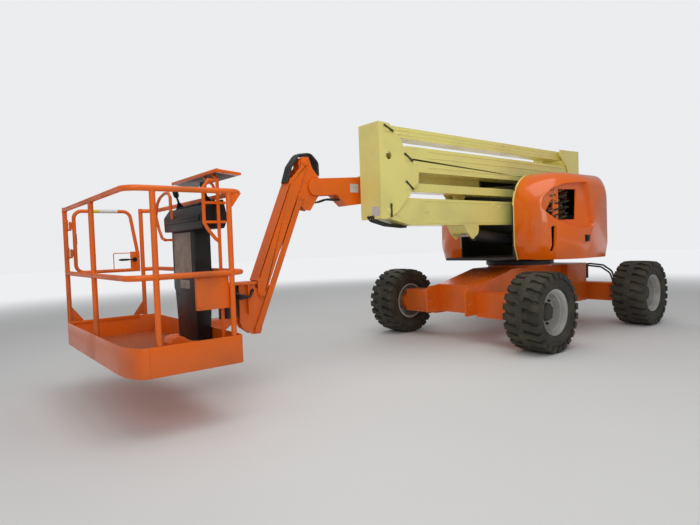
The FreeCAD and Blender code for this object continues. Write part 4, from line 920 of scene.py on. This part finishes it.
class BOOMLIFT_OT_rails(bpy.types.Operator):
    """Bent tube rails with their posts, gussets, hinge lugs and the flat box"""

    bl_idname = "boomlift.rails"
    bl_label = "Rails"

    def execute(self, context):
        sizes = context.scene.boomlift_platform
        low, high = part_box("platform_rails")
        tray_low, tray_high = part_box("platform_tray")
        thick = 0.019
        rear, front, far, near = low.x + thick, GATE_HINGE.x + 0.041, GATE_HINGE.y, high.y - thick
        form = bmesh.new()
        for height in (1.020, 1.575):
            route = (
                (front, far, height),
                (front, near, height),
                (rear, near, height),
                (rear, far, height),
                (rear + 0.132, far, height),
            )
            pipe(form, route, thick, sizes.bend)
        # place of each post and the height of its foot
        posts = (
            (front, far, 0.417, 1.594),
            (rear + 0.132, far, 0.417, 1.594),
            (front, (far + near) / 2 + 0.045, 0.425, 1.575),
            (front - 0.162, near, 0.425, 1.575),
            (rear + 0.105, near, 0.425, 1.575),
        )
        for x, y, foot, top in posts:
            pipe(form, ((x, y, foot), (x, y, top)), thick)
            for height in (1.020, 1.575):
                for side in (-1, 1):
                    if height + side * 0.03 < top:
                        disc(form, (x, y, height + side * 0.012), (0, 0, side), 0.0235, 0.010, 16, 0.0195)
        for x in (front, rear + 0.132):
            for foot in (0.427, 0.550):
                box(form, (x - 0.014, far + 0.008, foot), (x + 0.014, tray_low.y, foot + 0.030), 0.002)
        # gussets beside the two outer posts, over the toe board
        for x, way in ((front - thick + 0.002, -1), (rear + 0.132 + thick - 0.002, 1)):
            outline = ((x, 0.592), (x + way * 0.092, 0.592), (x + way * 0.084, 0.606), (x, 0.722))
            plate(form, "y", outline, far + 0.002, far + 0.008, 0.001)
        # gusset under the near rear corner of the top rail
        outline = ((rear + 0.010, 1.566), (rear + 0.092, 1.566), (rear + 0.092, 1.470), (rear + 0.080, 1.470))
        plate(form, "y", outline, near - 0.004, near + 0.004, 0.001)
        for height in (1.195, 1.437):
            hinge = GATE_HINGE.x
            disc(form, (hinge, far, height - 0.045), (0, 0, 1), 0.008, 0.014, 16)
            box(form, (hinge, far - 0.005, height - 0.045), (front - 0.006, far + 0.005, height - 0.031), 0.001)
            disc(form, (hinge, far, height - 0.038), (0, 0, 1), 0.006, 0.074, 16)
            # hinge plate on the post, with its two bolts
            box(form, (front - 0.022, far + 0.014, height - 0.050), (front + 0.012, far + 0.020, height + 0.050), 0.001)
            for rise in (-0.030, 0.030):
                bolt(form, (front - 0.004, far + 0.020, height + rise), (0, 1, 0), 0.008)
        box_x = tray_low.x
        box(form, (box_x + 0.076, near - 0.048, 0.780), (box_x + 0.307, near - 0.012, 1.008), 0.004)
        for x in (box_x + 0.094, box_x + 0.289):
            for z in (0.800, 0.988):
                bolt(form, (x, near - 0.012, z), (0, 1, 0), 0.007)
        finish_piece("rails_tubes", form, "rail_paint", "platform", ["platform_rails"], 34)
        return {"FINISHED"}


class BOOMLIFT_OT_gate(bpy.types.Operator):
    """The swinging gate: a bent tube with its latch plate, handle, hinges and bands"""

    bl_idname = "boomlift.gate"
    bl_label = "Gate"

    def execute(self, context):
        hinge, y = GATE_HINGE.x, GATE_HINGE.y
        low, high, bar = 1.019, 1.567, -0.029
        form = bmesh.new()
        route = [(hinge + x, y, z) for x, z in ((-0.520, low), (bar, low), (bar, high), (-0.5024, high), (-0.565, low + 0.131))]
        pipe(form, route, 0.016, 0.068)
        box(form, (hinge - 0.578, y - 0.005, low - 0.016), (hinge - 0.493, y + 0.005, low + 0.172), 0.0015)
        for z in (1.195, 1.437):
            sleeve = bmesh.new()
            profile = ((-0.030, 0.00625), (-0.030, 0.012), (0.030, 0.012), (0.030, 0.00625))
            lathe(sleeve, (*profile, profile[0]), Vector(), 20)
            turn = Matrix.Translation((hinge, y, z)) @ Matrix.Rotation(math.pi / 2, 4, "X")
            bmesh.ops.transform(sleeve, matrix=turn, verts=sleeve.verts)
            join(form, sleeve)
            box(form, (hinge + bar, y - 0.007, z - 0.030), (hinge - 0.0085, y + 0.007, z + 0.030), 0.001)
            for rise in (-0.020, 0.020):
                bolt(form, (hinge + bar * 0.75, y + 0.007, z + rise), (0, 1, 0), 0.006)
        # thin guard bracket in front of the latch
        bracket = ((-0.493, low + 0.160), (-0.345, low + 0.160), (-0.345, low))
        pipe(form, [(hinge + x, y, z) for x, z in bracket], 0.004, 0.008, 8)
        finish_piece("gate_tube", form, "rail_paint", "gate", ["platform_gate"], 34)

        form = bmesh.new()
        handle = ((0.0, 0.0), (0.010, 0.007), (0.030, 0.011), (0.080, 0.010), (0.105, 0.006), (0.110, 0.0))
        lathe(form, handle, Vector(), 16)
        turn = Matrix.Translation((hinge - 0.380, y + 0.016, low + 0.098)) @ Matrix.Rotation(math.pi / 2, 4, "Z")
        bmesh.ops.transform(form, matrix=turn, verts=form.verts)
        pipe(form, ((hinge - 0.4885, y + 0.016, low + 0.098), (hinge - 0.515, y + 0.016, low + 0.098)), 0.005, sides=10)
        disc(form, (hinge - 0.530, y + 0.0045, low + 0.098), (0, 1, 0), 0.020, 0.016, 20)
        finish_piece("gate_handle", form, "black_plastic", "gate")

        for name, start, end, finish in (
            ("gate_band_front", -0.165, -0.232, "band_yellow"),
            ("gate_band_rear", -0.234, -0.395, "band_white"),
        ):
            form = bmesh.new()
            pipe(form, ((hinge + start, y, high), (hinge + end, y, high)), 0.0166, sides=16)
            if finish == "band_white":
                box(form, (hinge + bar - 0.0175, y - 0.010, 1.270), (hinge + bar - 0.0155, y + 0.012, 1.362), 0.0005)
            finish_piece(name, form, finish, "gate")
        return {"FINISHED"}


class BOOMLIFT_OT_tray(bpy.types.Operator):
    """The platform's pan with its bowed toe board, mesh floor, foot switch and a weld line"""

    bl_idname = "boomlift.tray"
    bl_label = "Tray"

    def execute(self, context):
        sizes = context.scene.boomlift_platform
        low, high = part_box("platform_tray")
        floor = 0.425
        outline = [(low.x, low.y), (high.x, low.y)]
        for step in range(15):
            # the toe board's bow at the front left corner, as a quarter of a squarish ellipse
            angle = math.pi / 2 * step / 14
            x = high.x - sizes.bow_deep * (1 - math.cos(angle))
            y = high.y - sizes.bow_long * (1 - math.sin(angle))
            outline.append((x, y))
        outline += [(low.x + 0.030, high.y), (low.x + 0.009, high.y - 0.009), (low.x, high.y - 0.030)]
        form = bmesh.new()
        plate(form, "z", outline, low.z, high.z)
        top = next(face for face in form.faces if face.calc_center_median().z > high.z - 0.001)
        bmesh.ops.inset_region(form, faces=[top], thickness=0.008, use_even_offset=True)
        grown = bmesh.ops.extrude_face_region(form, geom=[top])["geom"]
        verts = [item for item in grown if isinstance(item, bmesh.types.BMVert)]
        bmesh.ops.translate(form, verts=verts, vec=(0, 0, floor - high.z))
        bmesh.ops.delete(form, geom=[top], context="FACES_ONLY")
        rim = [
            edge
            for edge in form.edges
            if all(abs(vert.co.z - high.z) < 0.001 or abs(vert.co.z - low.z) < 0.001 for vert in edge.verts)
            and edge.is_manifold
            and edge.calc_face_angle(0) > 0.8
            and abs(edge.verts[0].co.z - edge.verts[1].co.z) < 0.001
        ]
        bmesh.ops.bevel(form, geom=rim, offset=0.003, segments=2, profile=0.5, affect="EDGES", material=-1, clamp_overlap=True)
        # a bar on the toe board's far top edge
        box(form, (low.x + 0.150, low.y - 0.002, high.z - 0.024), (high.x - 0.010, low.y + 0.012, high.z + 0.006), 0.003)
        # weld line at the near corner, on the seam of the bow
        x = high.x - sizes.bow_deep - 0.010
        pipe(form, ((x, high.y, low.z + 0.004), (x, high.y, high.z - 0.004)), 0.0035, sides=8)
        finish_piece("tray_pan", form, "orange_paint", "platform", ["platform_tray"], 30)

        form = bmesh.new()
        middle = Vector(((low.x + high.x) / 2, (low.y + high.y) / 2))
        inner = []
        for place in outline:
            away = Vector(place) - middle
            inner.append(middle + Vector((away.x * 0.97, away.y * 0.985)))
        plate(form, "z", inner, floor + 0.0003, floor + 0.0035)
        finish_piece("tray_floor", form, "mesh_floor", "platform")

        # foot switch: a guarded box with a sloping pedal towards the rear
        form = bmesh.new()
        x, y = low.x + 0.300, 0.345
        hood = (
            (x + 0.085, floor + 0.003),
            (x + 0.098, floor + 0.110),
            (x + 0.080, floor + 0.148),
            (x + 0.040, floor + 0.160),
            (x - 0.010, floor + 0.148),
            (x - 0.050, floor + 0.112),
            (x - 0.225, floor + 0.086),
            (x - 0.235, floor + 0.003),
        )
        plate(form, "y", hood, y - 0.070, y + 0.070, 0.010, 3)
        disc(form, (x + 0.025, y, floor + 0.153), (0, 0, 1), 0.030, 0.010, 24, 0.024)
        finish_piece("foot_switch", form, "orange_paint", "platform")
        form = bmesh.new()
        tread = (
            (x - 0.075, floor + 0.111),
            (x - 0.215, floor + 0.090),
            (x - 0.215, floor + 0.085),
            (x - 0.075, floor + 0.103),
        )
        plate(form, "y", tread, y - 0.045, y + 0.045, 0.0015)
        finish_piece("foot_pedal", form, "black_plastic", "platform")
        return {"FINISHED"}


class BOOMLIFT_OT_console(bpy.types.Operator):
    """The control console: a tapering pedestal, a ribbed head, two joysticks and a raised lid"""

    bl_idname = "boomlift.console"
    bl_label = "Console"

    def execute(self, context):
        tray_low, tray_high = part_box("platform_tray")
        low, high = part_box("console")
        back = tray_low.x
        base = -0.155
        form = bmesh.new()
        # X and Y of the pedestal at its foot, waist and shoulder
        levels = (
            (0.4255, 0.018, 0.128, 0.030, 0.415),
            (0.620, 0.018, 0.130, 0.025, 0.425),
            (0.860, 0.010, 0.134, 0.005, 0.440),
            (0.885, 0.010, 0.139, -0.005, 0.455),
            (1.337, 0.010, 0.139, -0.005, 0.455),
        )
        z, x0, x1, y0, y1 = levels[0]
        corners = ((x0, y0), (x1, y0), (x1, y1), (x0, y1))
        face = form.faces.new([form.verts.new((back + x, base + y, z)) for x, y in corners])
        for level in levels[1:]:
            z, x0, x1, y0, y1 = level
            order = {tuple(round(c, 6) for c in vert.co): turn for turn, vert in enumerate(face.verts)}
            grown = bmesh.ops.extrude_face_region(form, geom=[face])["geom"]
            corners = ((x0, y0), (x1, y0), (x1, y1), (x0, y1))
            for item in grown:
                if isinstance(item, bmesh.types.BMVert):
                    x, y = corners[order[tuple(round(c, 6) for c in item.co)]]
                    item.co = (back + x, base + y, level[0])
            if level != levels[1]:
                bmesh.ops.delete(form, geom=[face], context="FACES_ONLY")
            face = next(item for item in grown if isinstance(item, bmesh.types.BMFace))
        edges = [edge for edge in form.edges if edge.calc_face_angle(0) > 0.7 or edge.calc_face_angle(0) == 0]
        bmesh.ops.bevel(form, geom=edges, offset=0.010, segments=3, profile=0.5, affect="EDGES", material=-1, clamp_overlap=True)
        head = (
            (back - 0.010, 1.400),
            (back + 0.020, 1.330),
            (back + 0.189, 1.330),
            (back + 0.192, 1.440),
            (back + 0.150, 1.500),
            (back + 0.020, 1.538),
        )
        plate(form, "y", head, base - 0.025, base + 0.725, 0.009, 3)
        # front lip under the keypad
        plate(
            form,
            "y",
            ((back + 0.186, 1.385), (back + 0.200, 1.390), (back + 0.199, 1.425), (back + 0.188, 1.436)),
            base + 0.005,
            base + 0.695,
            0.003,
        )
        finish_piece("console_shell", form, "black_plastic", "platform", ["console"], 34)

        form = bmesh.new()
        slope = math.atan2(0.038, 0.130)
        turn = Matrix.Translation((back + 0.085, base, 1.5205)) @ Matrix.Rotation(slope, 4, "Y")
        for step in range(12):
            rib = bmesh.new()
            y = 0.150 + 0.034 * step
            box(rib, (-0.045, y, -0.003), (0.045, y + 0.018, 0.010), 0.003)
            bmesh.ops.transform(rib, matrix=turn, verts=rib.verts)
            join(form, rib)
        for y in (0.070, 0.610):
            stick = bmesh.new()
            boot = ((-0.006, 0.0), (-0.006, 0.036), (0.004, 0.036), (0.010, 0.026), (0.016, 0.030), (0.022, 0.020),
                    (0.028, 0.024), (0.034, 0.014), (0.040, 0.017), (0.046, 0.009), (0.085, 0.008), (0.092, 0.017),
                    (0.110, 0.023), (0.140, 0.021), (0.152, 0.012), (0.155, 0.0))
            lathe(stick, boot, Vector(), 20)
            place = Matrix.Translation((0.0, y, 0.0)) @ Matrix.Rotation(math.pi / 2, 4, "X")
            bmesh.ops.transform(stick, matrix=turn @ place, verts=stick.verts)
            join(form, stick)
        for y in (0.030, 0.560, 0.660):
            knob = bmesh.new()
            disc(knob, (-0.020, y, -0.002), (0, 0, 1), 0.011, 0.016, 16, 0.009)
            bmesh.ops.transform(knob, matrix=turn, verts=knob.verts)
            join(form, knob)
        finish_piece("console_controls", form, "black_plastic", "platform")

        # blank sheets on the pedestal's front
        form = bmesh.new()
        box(form, (back + 0.1392, base + 0.045, 0.985), (back + 0.1402, base + 0.385, 1.318), 0.0003, 1)
        finish_piece("console_sheet", form, "paper", "platform")
        form = bmesh.new()
        box(form, (back + 0.1392, base + 0.140, 0.890), (back + 0.1402, base + 0.330, 0.955), 0.0003, 1)
        finish_piece("console_note", form, "paper", "platform")

        # raised lid over the head, on a bracket from the near guard
        form = bmesh.new()
        lid = ((back - 0.060, 1.694), (back + 0.110, 1.712), (back + 0.112, 1.728), (back - 0.060, 1.712))
        plate(form, "y", lid, -0.148, 0.640, 0.003)
        finish_piece("console_lid", form, "lid_grey", "platform")
        form = bmesh.new()
        edge = ((back + 0.108, 1.708), (back + 0.126, 1.710), (back + 0.126, 1.731), (back + 0.108, 1.731))
        plate(form, "y", edge, -0.148, 0.701, 0.003)
        plate(form, "y", ((back - 0.060, 1.694), (back + 0.112, 1.712), (back + 0.112, 1.728), (back - 0.060, 1.712)), 0.640, 0.701, 0.003)
        pipe(form, ((back + 0.086, 0.620, 1.668), (back + 0.086, 0.560, 1.706)), 0.011, sides=12)
        pipe(form, ((back + 0.086, 0.400, 1.710), (back + 0.086, 0.540, 1.640), (back + 0.086, 0.620, 1.560)), 0.010, 0.05, 12)
        finish_piece("console_lid_edge", form, "orange_paint", "platform")
        return {"FINISHED"}


class BOOMLIFT_OT_boom_fittings(bpy.types.Operator):
    """Pin keepers, weld beads, bosses, blank plates and hoses on the tower, booms and jib"""

    bl_idname = "boomlift.boom_fittings"
    bl_label = "Boom fittings"

    def execute(self, context):
        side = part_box("front_upright")[1].y
        form = bmesh.new()
        caps = bmesh.new()
        # X and Z of each pin's head on the front upright and the lean of its keeper; the keepers' dark olive is painted
        # shadow, the cream upright's tone in shade
        for x, z, lean in ((2.616, 2.296, 0.40), (2.352, 2.032, 0.56), (2.347, 1.751, 0.66), (2.612, 1.497, 1.57)):
            disc(caps, spot(x, side - 0.001, z), (0, 1, 0), 0.036, 0.007, 28, 0.033)
            disc(caps, spot(x, side + 0.005, z), (0, 1, 0), 0.012, 0.004, 16)
            strap = bmesh.new()
            box(strap, (-0.068, 0.0, -0.011), (0.068, 0.007, 0.011), 0.002)
            for along in (-0.052, 0.052):
                bolt(strap, (along, 0.007, 0.0), (0, 1, 0), 0.0085)
            place = Matrix.Translation(spot(x - 0.020, side + 0.005, z + 0.008)) @ Matrix.Rotation(-lean, 4, "Y")
            bmesh.ops.transform(strap, matrix=place, verts=strap.verts)
            join(form, strap)
        finish_piece("upright_keepers", form, "keeper_green", "front_upright")
        finish_piece("upright_pin_heads", caps, "cream_paint", "front_upright")

        form = bmesh.new()
        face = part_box("front_upright")[1].x
        box(form, (face, 0.155, 1.455), (face + 0.0012, 0.268, 1.545), 0.0004, 1)
        finish_piece("upright_plate", form, "paper_pale", "front_upright")

        form = bmesh.new()
        for x, z, size in ((2.051, 1.501, 0.016), (0.915, 1.585, 0.020), (0.790, 1.569, 0.020)):
            disc(form, spot(x, 0.268, z), (0, 1, 0), size, 0.006, 24, size * 0.9)
            disc(form, spot(x, 0.273, z), (0, 1, 0), size * 0.45, 0.005, 6)
        for z in (1.385, 1.610):
            pipe(form, (spot(-0.35, 0.269, z), spot(2.10, 0.269, z)), 0.004, sides=8)
        finish_piece("lower_boom_bosses", form, "cream_paint", "lower_boom")

        form = bmesh.new()
        for z in (2.128, 2.062, 1.962):
            pipe(form, (spot(-0.72, 0.2685, z), spot(2.02, 0.2685, z)), 0.0055, sides=8)
        finish_piece("upper_boom_beads", form, "cream_paint", "upper_boom")

        low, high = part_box("upper_link")
        form = bmesh.new()
        for lift in (-0.018, 0.022):
            z = (low.z + high.z) / 2 + lift
            pipe(form, ((low.x + 0.16, high.y - 0.0005, z), (high.x - 0.16, high.y - 0.0005, z)), 0.004, sides=8)
        finish_piece("upper_link_beads", form, "cream_paint", "upper_link")

        # hoses under the tower's front foot
        form = bmesh.new()
        for y in (0.105, 0.140, 0.175):
            route = (spot(2.735, y, 1.452), spot(2.70, y, 1.412), spot(2.52, y, 1.368), spot(2.28, y, 1.349))
            pipe(form, route, 0.013, 0.05, 12)
        hoses = finish_piece("foot_hoses", form, "hose", "")
        spot(2.42, 0.14, 1.36)
        spot(2.68, 0.14, 1.40)
        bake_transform(hoses)

        # blank plate and rear hoses of the fly boom
        plate_form = bmesh.new()
        box(plate_form, spot(2.693, -0.0803, 1.711), spot(2.799, -0.0785, 1.797), 0.0005, 1)
        form = bmesh.new()
        for y in (-0.125, -0.155, -0.185):
            pipe(form, (spot(3.160, y, 1.606), spot(3.05, y, 1.640), spot(2.86, y, 1.634)), 0.0085, 0.06, 10)
        finish_piece("fly_plate", plate_form, "paper_pale", "fly_boom")
        hoses = finish_piece("fly_hoses", form, "hose", "")
        spot(2.93, -0.155, 1.64)
        spot(3.14, -0.155, 1.61)
        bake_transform(hoses)

        # hoses that arch over the jib's upper pin
        form = bmesh.new()
        for turn, y in enumerate((-0.199, -0.177, -0.155, -0.133, -0.111)):
            lift = 0.006 * (turn % 2)
            route = (
                spot(3.520, y, 1.780),
                spot(3.470 + lift, y, 1.930),
                spot(3.385, y, 2.040 + lift),
                spot(3.250, y, 2.062 + lift),
                spot(3.168 - lift, y, 1.985),
                spot(3.165, y, 1.860),
            )
            pipe(form, route, 0.0115, 0.055, 12)
        hoses = finish_piece("jib_hoses", form, "hose", "")
        spot(3.235, -0.155, 1.972)
        spot(3.455, -0.155, 1.945)
        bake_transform(hoses)

        # pin heads of the jib
        form = bmesh.new()
        side = -0.155 + 0.070
        for x, z, body in ((3.328, 1.972, "nose"), (3.385, 1.650, "nose")):
            disc(form, spot(x, side + 0.001, z), (0, 1, 0), 0.034, 0.006, 24, 0.030)
            disc(form, spot(x, side + 0.006, z), (0, 1, 0), 0.016, 0.005, 6)
        finish_piece("nose_pin_heads", form, "orange_paint", "nose")
        form = bmesh.new()
        for x, z in ((3.837, 0.781), (3.894, 0.459)):
            disc(form, spot(x, side + 0.001, z), (0, 1, 0), 0.034, 0.006, 24, 0.030)
            disc(form, spot(x, side + 0.006, z), (0, 1, 0), 0.016, 0.005, 6)
        finish_piece("jib_low_pin_heads", form, "orange_paint", "jib_bracket")

        # hose bundle in the jib's lower bracket
        form = bmesh.new()
        for turn in range(4):
            y = -0.115 + 0.014 * turn
            route = (
                spot(3.925, y - 0.02, 0.842 - 0.01 * turn),
                spot(3.955 + 0.01 * turn, y + 0.03, 0.760),
                spot(4.060, y + 0.035, 0.745 + 0.012 * turn),
                spot(4.105, y, 0.800),
            )
            pipe(form, route, 0.009, 0.03, 10)
        finish_piece("bracket_hoses", form, "hose", "jib_bracket")
        return {"FINISHED"}


class BOOMLIFT_OT_deck_fittings(bpy.types.Operator):
    """The valve bank behind the hood's window, the tail hoses and small chassis fittings"""

    bl_idname = "boomlift.deck_fittings"
    bl_label = "Deck fittings"

    def execute(self, context):
        for side, name in ((1, "left"), (-1, "right")):
            # a bank of valves and hoses that shows through the window and the vent
            form = bmesh.new()
            box(form, spot(0.130, side * 0.700, 1.350), spot(0.560, side * 0.740, 1.760), 0.006)
            box(form, spot(0.120, side * 0.560, 0.960), spot(0.150, side * 0.740, 1.760), 0.004)
            box(form, spot(0.540, side * 0.560, 0.960), spot(0.570, side * 0.740, 1.760), 0.004)
            finish_piece(f"valves_{name}_back", form, "black_plastic", "turntable")
            metal = bmesh.new()
            colour = bmesh.new()
            for row in range(6):
                for line in range(7):
                    shift = 0.011 * ((row * 5 + line * 3) % 4)
                    place = spot(0.175 + 0.056 * line + shift * 0.5, side * 0.740, 1.395 + 0.062 * row + shift)
                    target = colour if (row * 3 + line * 5) % 4 == 0 else metal
                    size = 0.013 + 0.003 * ((row + line) % 3)
                    disc(target, place, (0, side, 0), size, 0.030 + shift, 12, size * 0.8)
                    disc(target, place + Vector((0, side * (0.030 + shift), 0)), (0, side, 0), size * 0.7, 0.012, 6)
            finish_piece(f"valves_{name}_fittings", metal, "fitting_brass", "turntable")
            finish_piece(f"valves_{name}_caps", colour, "fitting_red", "turntable")
            form = bmesh.new()
            for turn in range(4):
                z = 1.420 + 0.075 * turn
                route = (
                    spot(0.520, side * 0.750, z),
                    spot(0.500 - 0.03 * turn, side * 0.800, z + 0.010),
                    spot(0.330, side * 0.815, z + 0.060 - 0.02 * turn),
                    spot(0.200, side * 0.770, z + 0.010),
                )
                pipe(form, route, 0.010, 0.03, 10)
            finish_piece(f"valves_{name}_hoses", form, "hose", "turntable")

        # drive hoses that arch from the frame's tail to the steered axle
        form = bmesh.new()
        for side in (1, -1):
            for shift in (0.0, 0.028):
                route = (
                    spot(-0.995, side * (0.240 - shift), 0.690),
                    spot(-1.060, side * (0.280 - shift), 0.785 - shift),
                    spot(-1.193, side * (0.360 - shift), 0.797 - shift),
                    spot(-1.330, side * (0.480 - shift), 0.770 - shift),
                    spot(-1.425, side * (0.560 - shift), 0.680 - shift),
                    spot(-1.385, side * (0.620 - shift), 0.530),
                    spot(-1.290, side * (0.600 - shift), 0.470),
                )
                pipe(form, route, 0.012, 0.06, 12)
        finish_piece("tail_hoses", form, "hose", "chassis")
        form = bmesh.new()
        for side in (1, -1):
            box(form, spot(-1.0100, side * 0.320 - 0.030, 0.620), spot(-0.999, side * 0.320 + 0.030, 0.740), 0.002)
            disc(form, spot(-1.075, side * 0.320, 0.600), (0, 0, 1), 0.066, 0.160, 28)
            disc(form, spot(-1.075, side * 0.320, 0.760), (0, 0, 1), 0.055, 0.012, 28, 0.044)
            disc(form, spot(-1.075, side * 0.320, 0.770), (0, 0, 1), 0.018, 0.014, 6)
        finish_piece("tail_canisters", form, "black_plastic", "chassis")

        # bolts round the slewing ring, under the deck
        form = bmesh.new()
        ring_low, ring_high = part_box("slew_ring")
        middle = (ring_low + ring_high) / 2
        reach = (ring_high.x - ring_low.x) / 2 - 0.030
        for step in range(36):
            angle = math.tau * step / 36
            place = Vector((middle.x + reach * math.cos(angle), middle.y + reach * math.sin(angle), ring_high.z))
            bolt(form, place, (0, 0, 1), 0.011)
        finish_piece("ring_bolts", form, "dark_steel", "turntable")
        return {"FINISHED"}


class BOOMLIFT_PT_panel(bpy.types.Panel):
    """Makes the boom lift's pieces"""

    bl_idname = "BOOMLIFT_PT_panel"
    bl_label = "Boom lift"
    bl_space_type = "VIEW_3D"
    bl_region_type = "UI"
    bl_category = "Boom lift"

    def draw(self, context):
        scene = context.scene
        for group in (scene.boomlift_paints, scene.boomlift_wheels, scene.boomlift_platform):
            for name in group.__annotations__:
                self.layout.prop(group, name)
        for operator in OPERATORS:
            self.layout.operator(operator.bl_idname)


GROUPS = {
    "boomlift_paints": BoomLiftPaints,
    "boomlift_wheels": BoomLiftWheels,
    "boomlift_platform": BoomLiftPlatform,
}
OPERATORS = (
    BOOMLIFT_OT_stage,
    BOOMLIFT_OT_finishes,
    BOOMLIFT_OT_tyres,
    BOOMLIFT_OT_rims,
    BOOMLIFT_OT_hoods,
    BOOMLIFT_OT_rails,
    BOOMLIFT_OT_gate,
    BOOMLIFT_OT_tray,
    BOOMLIFT_OT_console,
    BOOMLIFT_OT_boom_fittings,
    BOOMLIFT_OT_deck_fittings,
    BOOMLIFT_OT_edges,
)


def register():
    for item in (*GROUPS.values(), *OPERATORS, BOOMLIFT_PT_panel):
        bpy.utils.register_class(item)
    for name, group in GROUPS.items():
        setattr(bpy.types.Scene, name, PointerProperty(type=group))


def unregister():
    for name in GROUPS:
        delattr(bpy.types.Scene, name)
    for item in reversed((*GROUPS.values(), *OPERATORS, BOOMLIFT_PT_panel)):
        bpy.utils.unregister_class(item)


def main():
    register()
    for operator in OPERATORS:
        group, name = operator.bl_idname.split(".")
        getattr(getattr(bpy.ops, group), name)()


if __name__ == "__main__":
    main()
